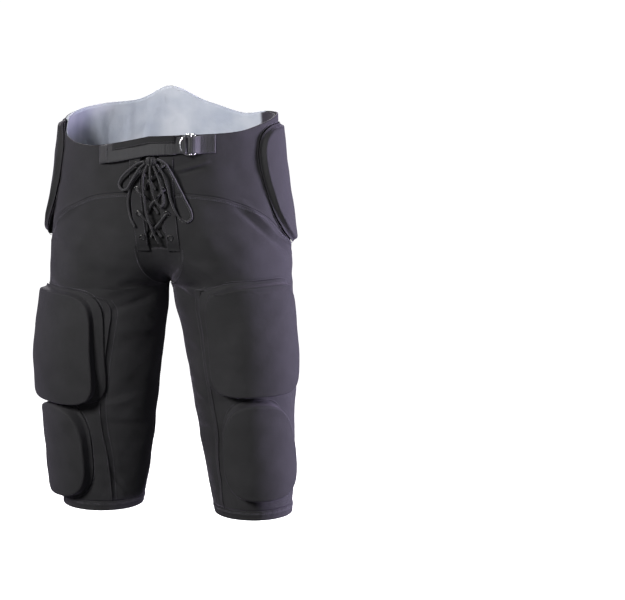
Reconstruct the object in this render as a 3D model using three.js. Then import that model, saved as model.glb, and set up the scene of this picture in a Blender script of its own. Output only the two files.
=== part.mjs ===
import * as THREE from 'three';

// Football pants with sewn-in pads, in millimetres. The wearer faces -Y, and +X is the wearer's left.
// Height 0 is the side of the waist rim, and a level is a share of the outseam below it.
const outseam = 545;
const hipWidth = 334;
const hipDepth = 216;
const waistShift = 15;        // the worn waist sits this far towards the wearer's right
const tailPeak = 25;          // rise of the rim over the tail pad
const frontDip = 30;          // dip of the rim in front
const clothWall = 2;
const liningWall = 1.2;
const liningDepth = 110;
const liningInset = 1.5;
const liningLay = 1.4;
const liningFrom = 32;
const seamGap = 0.3;          // between two panels that are sewn edge to edge
const layGap = 0.6;           // under a piece that lies on curved cloth
const hemWidth = 14;
const hemWall = 1.4;

const crotchDrop = 223;
const flyHalf = 12;           // half of the laced opening
const flyBase = 165;
const flyTaper = 0.25;        // share by which the opening narrows to its base
const gussetRun = 28;         // height over which the gusset widens from the fly
const flyClear = 3;           // from the base of the fly to the pieces that end there
const gussetHalf = 30;
const gussetDrop = 242;
const seatHalf = 52;
const placketWidth = 17;
const placketWall = 1.5;
const placketTop = 42;
const placketInset = 0.5;
const goreWall = 1.5;
const goreHalf = 27;
const goreRise = 4;           // of the gore over the top of the plackets

const strapWidth = 24;
const strapWall = 2.4;
const strapFrom = -74;        // across the front from its middle, towards the wearer's left
const strapTo = 34;
const strapInset = 1;
const ringAcross = 48;
const ringTall = 30;
const ringWide = 17;
const ringWire = 3;
const ringStagger = 5;
const tabTo = 80;

const eyeletAcross = 19;
const eyeletTop = 53;
const eyeletStep = 32;
const eyeletRows = 4;
const eyeletOuter = 4.6;
const eyeletInner = 3;
const eyeletWall = 1.2;

const laceWide = 3.2;
const laceSides = 8;
const laceTuck = 7;           // where a strand goes under the edge of the opening
const knotGap = 0.5;          // between the knot's round face and the flat end of a cord

const halfWidth = hipWidth / 2;
const halfDepth = hipDepth / 2;

// Sections of one half: an oval about `mid`, reaching out to `out`, cut off by the middle plane.
// Out and mid are shares of half the hip width, front and back of half the hip depth.
const cut = [
  { level: -0.08, out: 0.865, mid: 0, front: 0.91, back: 0.955 },
  { level: 0, out: 0.872, mid: 0, front: 0.93, back: 0.98 },
  { level: 0.11, out: 0.905, mid: 0.005, front: 0.955, back: 1.04 },
  { level: 0.2, out: 0.945, mid: 0.07, front: 0.965, back: 1.11 },
  { level: 0.275, out: 0.975, mid: 0.19, front: 0.945, back: 1.13 },
  { level: 0.339, out: 0.994, mid: 0.335, front: 0.89, back: 1.074 },
  { level: 0.378, out: 1.0, mid: 0.437, front: 0.833, back: 0.981 },
  { level: crotchDrop / outseam, out: 1.006, mid: 0.503, front: 0.796, back: 0.907 },
  { level: 0.468, out: 1.018, mid: 0.521, front: 0.769, back: 0.833 },
  { level: 0.591, out: 1.042, mid: 0.563, front: 0.741, back: 0.741 },
  { level: 0.73, out: 1.01, mid: 0.581, front: 0.667, back: 0.657 },
  { level: 0.853, out: 0.995, mid: 0.605, front: 0.611, back: 0.63 },
  { level: 1.0, out: 0.976, mid: 0.641, front: 0.52, back: 0.537 },
];

// Waist rim round each half, as shares of the front dip below height 0.
const rim = {
  left: [
    { turn: 0, drop: 0.5 }, { turn: 0.12, drop: 0.42 }, { turn: 0.28, drop: 0.3 },
    { turn: 0.4, drop: -0.05 }, { turn: 0.5, drop: -0.3 }, { turn: 0.62, drop: -0.3 },
    { turn: 0.74, drop: -0.1 }, { turn: 0.86, drop: -0.42 }, { turn: 1, drop: -0.4 },
  ],
  right: [
    { turn: 0, drop: 0.5 }, { turn: 0.14, drop: 0.86 }, { turn: 0.25, drop: 1 },
    { turn: 0.36, drop: 0.85 }, { turn: 0.44, drop: 0.5 }, { turn: 0.52, drop: 0 },
    { turn: 0.7, drop: -0.4 }, { turn: 0.86, drop: -0.5 }, { turn: 1, drop: -0.4 },
  ],
};

// Seam under the hip yokes, as shares of the outseam.
const yokeSeam = [
  { turn: 0, level: 0.165 }, { turn: 0.12, level: 0.167 }, { turn: 0.24, level: 0.183 },
  { turn: 0.39, level: 0.235 }, { turn: 0.5, level: 0.316 }, { turn: 0.59, level: 0.334 },
  { turn: 0.64, level: 0.316 }, { turn: 0.7, level: 0.257 }, { turn: 0.78, level: 0.185 },
  { turn: 0.87, level: 0.132 }, { turn: 1, level: 0.117 },
];

// How each half is worn: out and back at the hem and out at the hip pad's tip, in millimetres, and
// how much the inside of the leg draws in.
const halves = {
  left: { name: 'left', side: 1, splay: 8, stride: -8, slim: 0.04, flare: 2 },
  right: { name: 'right', side: -1, splay: -8, stride: 20, slim: 0, flare: 9 },
};

// Levels over which the stance and the shift of the waist come in, and the height over which the
// inside of a leg draws in.
const legFrom = 0.42;
const waistTo = { start: 0.1, run: 0.3 };
const slimRun = 65;

// Pads. Wide and tall are the block, and the skirt is the sloping
// cloth that runs from the block down to its seam. Taper widens the top, square is the roundness, and
// lay is the space under the pad that its flat faces need over the round leg.
const pads = [
  {
    name: 'hip_pad', wide: 104, tall: 156, lay: 1.7,
    skirt: { front: 5, back: 5, up: 4, down: 3 }, taper: 0.15, square: 3.4, tip: 0.4,
  },
  {
    name: 'thigh_pad', wide: 116, tall: 150, lay: 2.5,
    skirt: { front: 15, back: 6, up: 5, down: 4 }, taper: 0.02, square: 5, tip: 0,
  },
  {
    name: 'knee_pad', wide: 90, tall: 134, lay: 1.6,
    skirt: { front: 6, back: 5, up: 4, down: 4 }, taper: -0.04, square: 2.8, tip: 0,
  },
];
const padEdge = 1.2;           // wall of a pad's cloth at its seam

// Where the middle of each pad sits as worn, how thick it is there, and how much thicker it is at
// its lower edge than at its upper one.
const padPlaces = {
  left: {
    hip_pad: { turn: 0.495, level: 0.156, thick: 7, lean: 0 },
    thigh_pad: { turn: 0.307, level: 0.532, thick: 16, lean: 2 },
    knee_pad: { turn: 0.305, level: 0.815, thick: 16, lean: 4 },
  },
  right: {
    hip_pad: { turn: 0.545, level: 0.156, thick: 7, lean: 0 },
    thigh_pad: { turn: 0.372, level: 0.562, thick: 10, lean: 13 },
    knee_pad: { turn: 0.39, level: 0.838, thick: 18, lean: 0 },
  },
};
const tailPad = {
  wide: 86, tall: 196, thick: 8, lean: 0, lay: 2.5, square: 3.2, taper: 0, tip: 0, bottom: 181,
  skirt: { front: 4, back: 4, up: 2, down: 4 },
};

// Height of a pad over its own ring, from the middle of the block out to its seam.
const padProfile = [
  { ring: 0.14, height: 1 }, { ring: 0.7, height: 1 }, { ring: 0.95, height: 0.96 },
  { ring: 1, height: 0.75 },
];

const padUnder = [0.96, 0.7, 0.4, 0.14];
const flareRise = 1.4;         // a hip pad stands off more and more over its lower part

const finishes = {
  knit: { color: 0x323236, roughness: 0.85, metalness: 0 },
  padCloth: { color: 0x2b2b2f, roughness: 0.88, metalness: 0 },
  webbing: { color: 0x26262a, roughness: 0.7, metalness: 0 },
  cord: { color: 0x1d1d20, roughness: 0.75, metalness: 0 },
  liningCloth: { color: 0xccd0d8, roughness: 0.9, metalness: 0 },
  nickel: { color: 0xc9c9cc, roughness: 0.25, metalness: 1 },
  blackMetal: { color: 0x1c1c1e, roughness: 0.3, metalness: 0.6 },
};

// Reads one column of a table at a place between its rows, on a smooth curve through them.
function tableValue(table, key, column, at) {
  const last = table.length - 1;
  let row = 0;
  while (row < last - 1 && at > table[row + 1][key]) {
    row += 1;
  }
  const before = table[Math.max(row - 1, 0)];
  const from = table[row];
  const to = table[row + 1];
  const after = table[Math.min(row + 2, last)];
  const span = to[key] - from[key];
  const slope = (a, b) => (b[column] - a[column]) / (b[key] - a[key]);
  const share = THREE.MathUtils.clamp((at - from[key]) / span, 0, 1);
  const square = share * share;
  const cube = square * share;
  return (2 * cube - 3 * square + 1) * from[column]
    + (cube - 2 * square + share) * span * slope(before, to)
    + (3 * square - 2 * cube) * to[column]
    + (cube - square) * span * slope(from, after);
}

const smooth = (x) => {
  const t = THREE.MathUtils.clamp(x, 0, 1);
  return t * t * (3 - 2 * t);
};

function section(z) {
  const level = -z / outseam;
  const out = tableValue(cut, 'level', 'out', level) * halfWidth;
  const mid = tableValue(cut, 'level', 'mid', level) * halfWidth;
  const reach = out - mid;
  return {
    mid,
    reach,
    out,
    front: tableValue(cut, 'level', 'front', level) * halfDepth,
    back: tableValue(cut, 'level', 'back', level) * halfDepth,
    end: Math.acos(-Math.min(mid / reach, 1)),
  };
}

// The oval's own point at an angle from the outer side, before the leg's stance.
function ovalPoint(shape, angle) {
  const depth = Math.sin(angle) < 0 ? shape.front : shape.back;
  return [shape.mid + shape.reach * Math.cos(angle), depth * Math.sin(angle)];
}

// Angles at equal steps of length round the half section, kept for each height.
const arcSteps = 48;
const arcStore = new Map();
function arcOf(z) {
  const key = z.toFixed(4);
  if (!arcStore.has(key)) {
    const shape = section(z);
    const lengths = [0];
    let last = ovalPoint(shape, -shape.end);
    for (let step = 1; step <= arcSteps; step += 1) {
      const point = ovalPoint(shape, shape.end * (2 * step / arcSteps - 1));
      lengths.push(lengths[step - 1] + Math.hypot(point[0] - last[0], point[1] - last[1]));
      last = point;
    }
    arcStore.set(key, { shape, lengths, girth: lengths[arcSteps] });
  }
  return arcStore.get(key);
}

const halfGirth = (z) => arcOf(z).girth;

// Point of the outer cloth of one half: turn 0 is the front middle or the inseam, 0.5 the outer
// side, and 1 the back middle or the inseam again.
function clothPoint(half, turn, z) {
  const { shape, lengths, girth } = arcOf(z);
  const wanted = THREE.MathUtils.clamp(turn, 0, 1) * girth;
  let step = 1;
  while (step < arcSteps && lengths[step] < wanted) {
    step += 1;
  }
  const part = (wanted - lengths[step - 1]) / (lengths[step] - lengths[step - 1]);
  const angle = shape.end * (2 * (step - 1 + part) / arcSteps - 1);
  const [x, y] = ovalPoint(shape, angle);
  const below = smooth((-z / outseam - legFrom) / (1 - legFrom));
  const above = 1 - smooth((-z / outseam - waistTo.start) / waistTo.run);
  const shift = -waistShift * above * (1 - x / shape.out);
  const drawn = half.slim * smooth((-z - crotchDrop) / slimRun) * (shape.out - x);
  return new THREE.Vector3(half.side * (x + drawn + half.splay * below) + shift,
    y + half.stride * below, z);
}

// The same point moved out of the cloth by a lift, or into it by a negative one.
function raised(half, turn, z, lift) {
  const turnStep = 0.004;
  const zStep = 1;
  const along = clothPoint(half, turn + turnStep, z).sub(clothPoint(half, turn - turnStep, z));
  const up = clothPoint(half, turn, z + zStep).sub(clothPoint(half, turn, z - zStep));
  const outward = along.cross(up).normalize().multiplyScalar(half.side * lift);
  return clothPoint(half, turn, z).add(outward);
}

const outwardOf = (half, turn, z) => raised(half, turn, z, 1).sub(clothPoint(half, turn, z));

// A place across the front: millimetres from the front middle, positive to the wearer's left.
function onFront(across, z, lift) {
  const half = across < 0 ? halves.right : halves.left;
  const turn = Math.abs(across) / halfGirth(z);
  const straight = outwardOf(halves.left, 0, z).add(outwardOf(halves.right, 0, z)).normalize();
  const outward = straight.lerp(outwardOf(half, turn, z), smooth(Math.abs(across) / gussetHalf));
  return clothPoint(half, turn, z).addScaledVector(outward.normalize(), lift);
}

function rimHeight(half, turn) {
  const drop = tableValue(rim[half.name], 'turn', 'drop', turn) * frontDip;
  const fromMiddle = (1 - turn) * halfGirth(0) / seatHalf;
  const peak = tailPeak * Math.exp(-2.2 * fromMiddle * fromMiddle);
  return peak - drop;
}

const yokeHeight = (turn) => -tableValue(yokeSeam, 'turn', 'level', turn) * outseam;

// Distance of the cut edges from the front and back middles, by height.
const roundEnd = (share) => Math.sqrt(1 - (1 - THREE.MathUtils.clamp(share, 0, 1)) ** 2);

function frontEdge(z) {
  const open = flyHalf * (1 - flyTaper * smooth(-z / flyBase));
  const widen = smooth((gussetRun - z - flyBase) / gussetRun);
  const close = roundEnd((gussetDrop + z) / (gussetDrop - flyBase));
  return THREE.MathUtils.lerp(open, gussetHalf * close, widen);
}

function backEdge(z) {
  return seatHalf * roundEnd((gussetDrop + z) / (gussetDrop - flyBase));
}

// Closed body from a list of corner points and triangles, turned so that its faces point outwards.
function bodyFrom(points, faces) {
  let volume = 0;
  for (const [a, b, c] of faces) {
    volume += points[a].dot(new THREE.Vector3().crossVectors(points[b], points[c]));
  }
  const order = volume > 0 ? faces : faces.map(([a, b, c]) => [a, c, b]);
  const geometry = new THREE.BufferGeometry();
  geometry.setAttribute('position',
    new THREE.Float32BufferAttribute(points.flatMap((point) => point.toArray()), 3));
  geometry.setIndex(order.flat());
  geometry.computeVertexNormals();
  return geometry;
}

// Sheet with a wall: two grids of the same size, joined round their rims.
function sheetBody(outer, inner) {
  const rows = outer.length;
  const columns = outer[0].length;
  const count = rows * columns;
  const points = [...outer.flat(), ...inner.flat()];
  const faces = [];
  const at = (row, column) => row * columns + column;
  const apart = (a, b) => points[a].distanceTo(points[b]);
  const quad = (a, b, c, d) => {
    const split = apart(a, c) < apart(b, d) ? [[a, b, c], [a, c, d]] : [[a, b, d], [b, c, d]];
    faces.push(...split);
  };
  for (let row = 0; row < rows - 1; row += 1) {
    for (let column = 0; column < columns - 1; column += 1) {
      const [a, b] = [at(row, column), at(row, column + 1)];
      const [c, d] = [at(row + 1, column + 1), at(row + 1, column)];
      quad(a, b, c, d);
      quad(d + count, c + count, b + count, a + count);
    }
  }
  const edge = (a, b) => quad(b, a, a + count, b + count);
  for (let column = 0; column < columns - 1; column += 1) {
    edge(at(0, column), at(0, column + 1));
    edge(at(rows - 1, column + 1), at(rows - 1, column));
  }
  for (let row = 0; row < rows - 1; row += 1) {
    edge(at(row + 1, 0), at(row, 0));
    edge(at(row, columns - 1), at(row + 1, columns - 1));
  }
  return bodyFrom(points, faces);
}

// Body from rings of points: capped at both ends, or joined from the last ring to the first.
function ringBody(rings, closed) {
  const sides = rings[0].length;
  const points = rings.flat();
  const faces = [];
  const bands = closed ? rings.length : rings.length - 1;
  for (let ring = 0; ring < bands; ring += 1) {
    const next = (ring + 1) % rings.length;
    for (let side = 0; side < sides; side += 1) {
      const turn = (side + 1) % sides;
      faces.push([ring * sides + side, ring * sides + turn, next * sides + turn]);
      faces.push([ring * sides + side, next * sides + turn, next * sides + side]);
    }
  }
  if (!closed) {
    for (const ring of [0, rings.length - 1]) {
      const middle = new THREE.Vector3();
      rings[ring].forEach((point) => middle.addScaledVector(point, 1 / sides));
      points.push(middle);
      const hub = points.length - 1;
      for (let side = 0; side < sides; side += 1) {
        const pair = [ring * sides + (side + 1) % sides, ring * sides + side];
        faces.push(ring === 0 ? [hub, ...pair] : [hub, pair[1], pair[0]]);
      }
    }
  }
  return bodyFrom(points, faces);
}

function gridOf(rows, columns, place) {
  return Array.from({ length: rows + 1 }, (_, row) => Array.from({ length: columns + 1 },
    (_unused, column) => place(row / rows, column / columns)));
}

const pants = new THREE.Group();

function addPiece(name, geometry, finish) {
  const mesh = new THREE.Mesh(geometry, new THREE.MeshStandardMaterial(finishes[finish]));
  mesh.name = name;
  pants.add(mesh);
}

// Leg panel: from the yoke seam down to the gusset's lowest point, then on as a tube to the hem.
const legUpperRows = 7;
const legLowerRows = 7;
const panelColumns = 24;

// Rows come closer together towards the crotch, where the seams turn.
const upperShare = (share) => share * (1.5 - 0.5 * share);

function legPlace(half, row, column) {
  const join = legUpperRows / (legUpperRows + legLowerRows);
  const top = yokeHeight(column) - seamGap;
  const bottom = hemWidth + seamGap - outseam;
  const z = row < join
    ? THREE.MathUtils.lerp(top, -gussetDrop, upperShare(row / join))
    : THREE.MathUtils.lerp(-gussetDrop, bottom, (row - join) / (1 - join));
  const girth = halfGirth(z);
  const start = (frontEdge(z) + seamGap / 2) / girth;
  const end = 1 - (backEdge(z) + seamGap / 2) / girth;
  return [THREE.MathUtils.lerp(start, end, column), z];
}

function legPanel(half) {
  const skin = (lift) => gridOf(legUpperRows + legLowerRows, panelColumns, (row, column) => {
    const [turn, z] = legPlace(half, row, column);
    return raised(half, turn, z, lift);
  });
  addPiece(`leg_panel_${half.name}`, sheetBody(skin(0), skin(-clothWall)), 'knit');
}

// Hip yoke: from the waist rim down to the yoke seam.
const yokeRows = 5;

function yokePlace(column, row, half) {
  const waist = halfGirth(0);
  const rimTurn = THREE.MathUtils.lerp(flyHalf / waist, 1 - seatHalf / waist, column);
  const z = THREE.MathUtils.lerp(rimHeight(half, rimTurn), yokeHeight(column), row);
  const girth = halfGirth(z);
  const start = (frontEdge(z) + seamGap / 2) / girth;
  const end = 1 - (backEdge(z) + seamGap / 2) / girth;
  return [THREE.MathUtils.lerp(start, end, column), z];
}

function hipYoke(half) {
  const skin = (lift) => gridOf(yokeRows, panelColumns, (row, column) => {
    const [turn, z] = yokePlace(column, row, half);
    return raised(half, turn, z, lift);
  });
  addPiece(`hip_yoke_${half.name}`, sheetBody(skin(0), skin(-clothWall)), 'knit');
}

// Seat panel and gusset in one: down the back middle, under the crotch and up to the fly's base.
// Heights are those of the panels beside it, so the seams run edge to edge.
function gussetMiddle(z, back) {
  const level = Math.max(z, -crotchDrop);
  const [a, b] = [halves.left, halves.right].map((half) => clothPoint(half, back ? 1 : 0, level));
  return a.add(b).multiplyScalar(0.5);
}

function gussetSeam(back, z, half, lift) {
  const edge = back ? backEdge(z) : frontEdge(z);
  const share = (edge - seamGap / 2) / halfGirth(z);
  return raised(half, back ? 1 - share : share, z, lift);
}

function gussetPlace(back, z, across) {
  const seam = gussetSeam(back, z, across < 0 ? halves.right : halves.left, 0);
  const middle = gussetMiddle(z, back);
  const width = Math.abs(across);
  const bow = width * width;
  return new THREE.Vector3(THREE.MathUtils.lerp(middle.x, seam.x, width),
    THREE.MathUtils.lerp(middle.y, seam.y, bow), THREE.MathUtils.lerp(middle.z, seam.z, bow));
}

function seatPanel() {
  const columns = 8;
  const backTop = yokeHeight(1);
  const levels = [];
  for (let row = 0; row < yokeRows; row += 1) {
    levels.push({ back: true, share: row / yokeRows, yoke: true });
  }
  for (let row = 0; row < legUpperRows; row += 1) {
    levels.push({ back: true, share: upperShare(row / legUpperRows) });
  }
  for (let row = legUpperRows; row > 0; row -= 1) {
    const share = upperShare(row / legUpperRows);
    if (THREE.MathUtils.lerp(yokeHeight(0), -gussetDrop, share) < -flyBase) {
      levels.push({ back: false, share });
    }
  }
  const heightAt = ({ back, share, yoke }, across) => {
    const turn = 1 - Math.abs(across) * seatHalf / halfGirth(0);
    const half = across < 0 ? halves.right : halves.left;
    const top = yoke ? rimHeight(half, turn) : yokeHeight(back ? 1 : 0) - seamGap;
    return THREE.MathUtils.lerp(top, yoke ? backTop : -gussetDrop, share);
  };
  const acrossAt = (column) => 2 * column / columns - 1;
  const outer = levels.map((entry) => Array.from({ length: columns + 1 },
    (_, column) => gussetPlace(entry.back, heightAt(entry, acrossAt(column)), acrossAt(column))));
  const inner = innerGrid(outer, clothWall, -1);
  levels.forEach((entry, row) => {
    for (const column of [0, columns]) {
      const across = acrossAt(column);
      const half = across < 0 ? halves.right : halves.left;
      inner[row][column] = gussetSeam(entry.back, heightAt(entry, across), half, -clothWall);
    }
  });
  addPiece('seat_panel', sheetBody(outer, inner), 'knit');
}

// The grid moved along its own normals.
function innerGrid(grid, wall, turn) {
  const rows = grid.length - 1;
  const columns = grid[0].length - 1;
  const at = (row, column) => grid[THREE.MathUtils.clamp(row, 0, rows)][
    THREE.MathUtils.clamp(column, 0, columns)];
  return grid.map((line, row) => line.map((point, column) => {
    const across = at(row, column + 1).clone().sub(at(row, column - 1));
    const down = at(row + 1, column).clone().sub(at(row - 1, column));
    return point.clone().addScaledVector(across.cross(down).normalize(), turn * wall);
  }));
}

// White lining: one sheet inside the waist, from beside the fly round the back to the other side.
function waistLining() {
  const perHalf = 14;
  const columns = [];
  for (let step = 0; step <= perHalf; step += 1) {
    columns.push([halves.right, step / perHalf]);
  }
  for (let step = perHalf - 1; step >= 0; step -= 1) {
    columns.push([halves.left, step / perHalf]);
  }
  const skin = (depth) => [0, 0.33, 0.67, 1].map((row) => columns.map(([half, share]) => {
    const start = liningFrom / halfGirth(0);
    const turn = THREE.MathUtils.lerp(start, 1, share);
    const z = THREE.MathUtils.lerp(rimHeight(half, turn) - liningInset, -liningDepth, row);
    return raised(half, turn, z, -depth);
  }));
  const outside = clothWall + liningLay;
  addPiece('waist_lining', sheetBody(skin(outside), skin(outside + liningWall)), 'liningCloth');
}

// Hem: a folded band round the end of each leg, a little thicker than the panel.
function legHem(half) {
  const sides = 26;
  const corners = [[hemWidth, hemWall / 2], [hemWidth, -clothWall - hemWall / 2],
    [0, -clothWall - hemWall / 2], [0, hemWall / 2]];
  const rings = Array.from({ length: sides }, (_, side) => corners.map(
    ([up, lift]) => raised(half, side / sides, up - outseam, lift)));
  addPiece(`leg_hem_${half.name}`, ringBody(rings, true), 'knit');
}

// Outline of a pad's block at an angle: a rounded square, tapered and narrowed to its tip.
function padOutline(pad, angle) {
  const power = 2 / pad.square;
  const across = Math.sign(Math.cos(angle)) * Math.abs(Math.cos(angle)) ** power;
  const up = Math.sign(Math.sin(angle)) * Math.abs(Math.sin(angle)) ** power;
  const width = 1 + pad.taper * up - pad.tip * Math.max(-up, 0) ** 3;
  return {
    across: across * width * pad.wide / 2,
    up: up * pad.tall / 2,
    sideways: across,
    rising: up,
  };
}

// Angles at equal steps of length round the outline.
const padSides = 20;
function evenAngles(pad) {
  const samples = 720;
  const angles = Array.from({ length: samples + 1 }, (_, step) => 2 * Math.PI * step / samples);
  const lengths = [0];
  for (let step = 1; step <= samples; step += 1) {
    const from = padOutline(pad, angles[step - 1]);
    const to = padOutline(pad, angles[step]);
    lengths.push(lengths[step - 1] + Math.hypot(to.across - from.across, to.up - from.up));
  }
  return Array.from({ length: padSides }, (_, side) => {
    const wanted = lengths[samples] * side / padSides;
    return angles[lengths.findIndex((length) => length >= wanted)];
  });
}

// Pad body: rings from the middle of the block to its edge, down the skirt to the seam, and back
// underneath. `place` puts millimetres across and up, and a lift, on the cloth.
function padBody(pad, place) {
  const angles = evenAngles(pad);
  const corner = (angle, share, out, height, wall) => {
    const edge = padOutline(pad, angle);
    const thick = pad.thick + pad.lean * (0.5 - edge.up * share / pad.tall);
    const skirtAcross = edge.sideways < 0 ? pad.skirt.front : pad.skirt.back;
    const skirtUp = edge.rising < 0 ? pad.skirt.down : pad.skirt.up;
    return place(edge.across * share + edge.sideways * skirtAcross * out,
      edge.up * share + edge.rising * skirtUp * out, pad.lay + height * thick + wall);
  };
  const ring = (...where) => angles.map((angle) => corner(angle, ...where));
  const rings = padProfile.map((row) => ring(row.ring, 0, row.height, 0));
  rings.push(ring(1, 1, 0, padEdge), ring(1, 1, 0, 0));
  rings.push(...padUnder.map((share) => ring(share, 0, 0, 0)));
  return ringBody(rings, false);
}

function limbPad(shape, half) {
  const pad = { ...shape, ...padPlaces[half.name][shape.name] };
  const place = (across, up, lift) => {
    const z = up - pad.level * outseam;
    const flare = pad.tip > 0 ? half.flare * smooth(-flareRise * up / pad.tall) : 0;
    return raised(half, pad.turn + across / halfGirth(z), z, lift + flare);
  };
  addPiece(`${pad.name}_${half.name}`, padBody(pad, place), 'padCloth');
}

// A place on the seat: millimetres across from its middle line, and a height.
function onSeat(across, z, lift) {
  const at = (a, level) => gussetPlace(true, level, a / seatHalf);
  const step = 1;
  const along = at(across + step, z).sub(at(across - step, z));
  const up = at(across, z + step).sub(at(across, z - step));
  return at(across, z).addScaledVector(up.cross(along).normalize(), lift);
}

// Flat strip on the front: across from its middle, from one height to the other.
function frontStrip(from, to, low, high, lift, wall, steps, rows) {
  const skin = (height) => gridOf(rows, steps, (row, column) => {
    const across = THREE.MathUtils.lerp(from, to, column);
    const top = high(across);
    return onFront(across, THREE.MathUtils.lerp(top, low(across), row), height);
  });
  return sheetBody(skin(lift + wall), skin(lift));
}

function flyPieces() {
  for (const half of Object.values(halves)) {
    const skin = (lift) => gridOf(8, 2, (row, column) => {
      const z = -THREE.MathUtils.lerp(placketTop, flyBase - flyClear, row);
      return onFront(half.side * (flyHalf + placketInset + column * placketWidth), z, lift);
    });
    addPiece(`fly_placket_${half.name}`,
      sheetBody(skin(layGap + placketWall), skin(layGap)), 'knit');
  }
  const behind = -clothWall - layGap - goreWall;
  addPiece('fly_gore', frontStrip(-goreHalf, goreHalf, () => flyClear - flyBase, () => goreRise - placketTop,
    behind, goreWall, 6, 7), 'webbing');
}

const rimOnFront = (across) => {
  const half = across < 0 ? halves.right : halves.left;
  return rimHeight(half, Math.abs(across) / halfGirth(0));
};

// Belt: the strap across the front, the pair of rings and the short tab that holds them.
function beltPieces() {
  const strapLift = layGap + placketWall + seamGap;
  const top = (across) => rimOnFront(across) - strapInset;
  const bottom = (across) => top(across) - strapWidth;
  addPiece('belt_strap', frontStrip(strapFrom, strapTo, bottom, top, strapLift, strapWall, 12, 1),
    'webbing');
  addPiece('belt_tab', frontStrip(ringAcross + ringWide / 2 + ringWire / 2 + seamGap, tabTo,
    bottom, top, layGap, strapWall, 4, 1), 'webbing');
  ['inner', 'outer'].forEach((name, index) => {
    const lift = layGap + ringWire / 2 + index * (ringWire + seamGap);
    const level = top(ringAcross) - strapWidth / 2;
    addPiece(`belt_ring_${name}`, ringBody(ringWires(ringAcross - index * ringStagger, level, lift),
      true), 'nickel');
  });
}

// A ring bent like a D from round wire: a straight bar and half an oval.
function ringWires(across, level, lift) {
  const steps = 16;
  const sides = 6;
  const radius = ringWire / 2;
  const tall = ringTall / 2 - radius;
  const wide = ringWide - ringWire;
  const barSteps = 4;
  const curve = Array.from({ length: steps }, (_, step) => {
    if (step < barSteps) {
      return [wide / 2, tall * (2 * step / barSteps - 1)];
    }
    const angle = Math.PI * (step - barSteps) / (steps - barSteps);
    return [wide / 2 - wide * Math.sin(angle), tall * Math.cos(angle)];
  });
  const origin = onFront(across, level, lift);
  const right = onFront(across + 1, level, lift).sub(origin).normalize();
  const outward = onFront(across, level, lift + 1).sub(origin).normalize();
  const up = outward.clone().cross(right).normalize();
  const points = curve.map(([a, b]) => origin.clone().addScaledVector(right, a).addScaledVector(up, b));
  return points.map((point, step) => {
    const next = points[(step + 1) % steps];
    const last = points[(step + steps - 1) % steps];
    const sideways = next.clone().sub(last).cross(outward).normalize();
    return Array.from({ length: sides }, (_, side) => {
      const angle = 2 * Math.PI * side / sides;
      return point.clone().addScaledVector(sideways, radius * Math.cos(angle))
        .addScaledVector(outward, radius * Math.sin(angle));
    });
  });
}

const eyeletLift = layGap + placketWall + seamGap;
const eyeletLevel = (row) => -eyeletTop - row * eyeletStep;

function eyelet(half, row) {
  const sides = 8;
  const across = half.side * eyeletAcross;
  const origin = onFront(across, eyeletLevel(row), eyeletLift);
  const right = onFront(across + 1, eyeletLevel(row), eyeletLift).sub(origin).normalize();
  const outward = onFront(across, eyeletLevel(row), eyeletLift + 1).sub(origin).normalize();
  const up = outward.clone().cross(right).normalize();
  const rings = Array.from({ length: sides }, (_, side) => {
    const angle = 2 * Math.PI * side / sides;
    const spoke = right.clone().multiplyScalar(Math.cos(angle)).addScaledVector(up, Math.sin(angle));
    return [[eyeletOuter, 0], [(eyeletOuter + eyeletInner) / 2, eyeletWall], [eyeletInner, 0]].map(
      ([radius, lift]) => origin.clone().addScaledVector(spoke, radius).addScaledVector(outward, lift));
  });
  addPiece(`eyelet_${half.name}_${row + 1}`, ringBody(rings, true), 'blackMetal');
}

function cordBody(points, steps) {
  const section = new THREE.Shape();
  section.absarc(0, 0, laceWide / 2, 0, 2 * Math.PI);
  return new THREE.ExtrudeGeometry(section, {
    steps, curveSegments: laceSides / 2, bevelEnabled: false,
    extrudePath: new THREE.CatmullRomCurve3(points, false, 'centripetal'),
  });
}

// The lace between the eyelets. Each strand comes up through an eyelet, crosses over the opening
// and goes under the other edge one row lower.
function laceCrossings() {
  const start = eyeletLift + 1;
  const high = eyeletLift + eyeletWall + laceWide / 2 + seamGap;
  const low = -clothWall - layGap + laceWide / 2 + seamGap;
  const strand = (name, side, row, middleLift) => {
    const [a, b] = [eyeletLevel(row), eyeletLevel(row + 1)];
    const points = [
      [-side * eyeletAcross, a, start], [-side * (eyeletAcross - 1.6), a - 0.4, high],
      [-side * 10, THREE.MathUtils.lerp(a, b, 0.27), (high + middleLift) / 2],
      [0, THREE.MathUtils.lerp(a, b, 0.62), middleLift],
      [side * laceTuck, b, low],
    ].map(([across, z, lift]) => onFront(across, z, lift));
    addPiece(name, cordBody(points, 8), 'cord');
  };
  for (let row = 0; row < eyeletRows - 1; row += 1) {
    strand(`lace_under_${row + 1}`, 1, row, low + 0.6);
    strand(`lace_over_${row + 1}`, -1, row, low + laceWide + seamGap + 1);
  }
}

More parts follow.
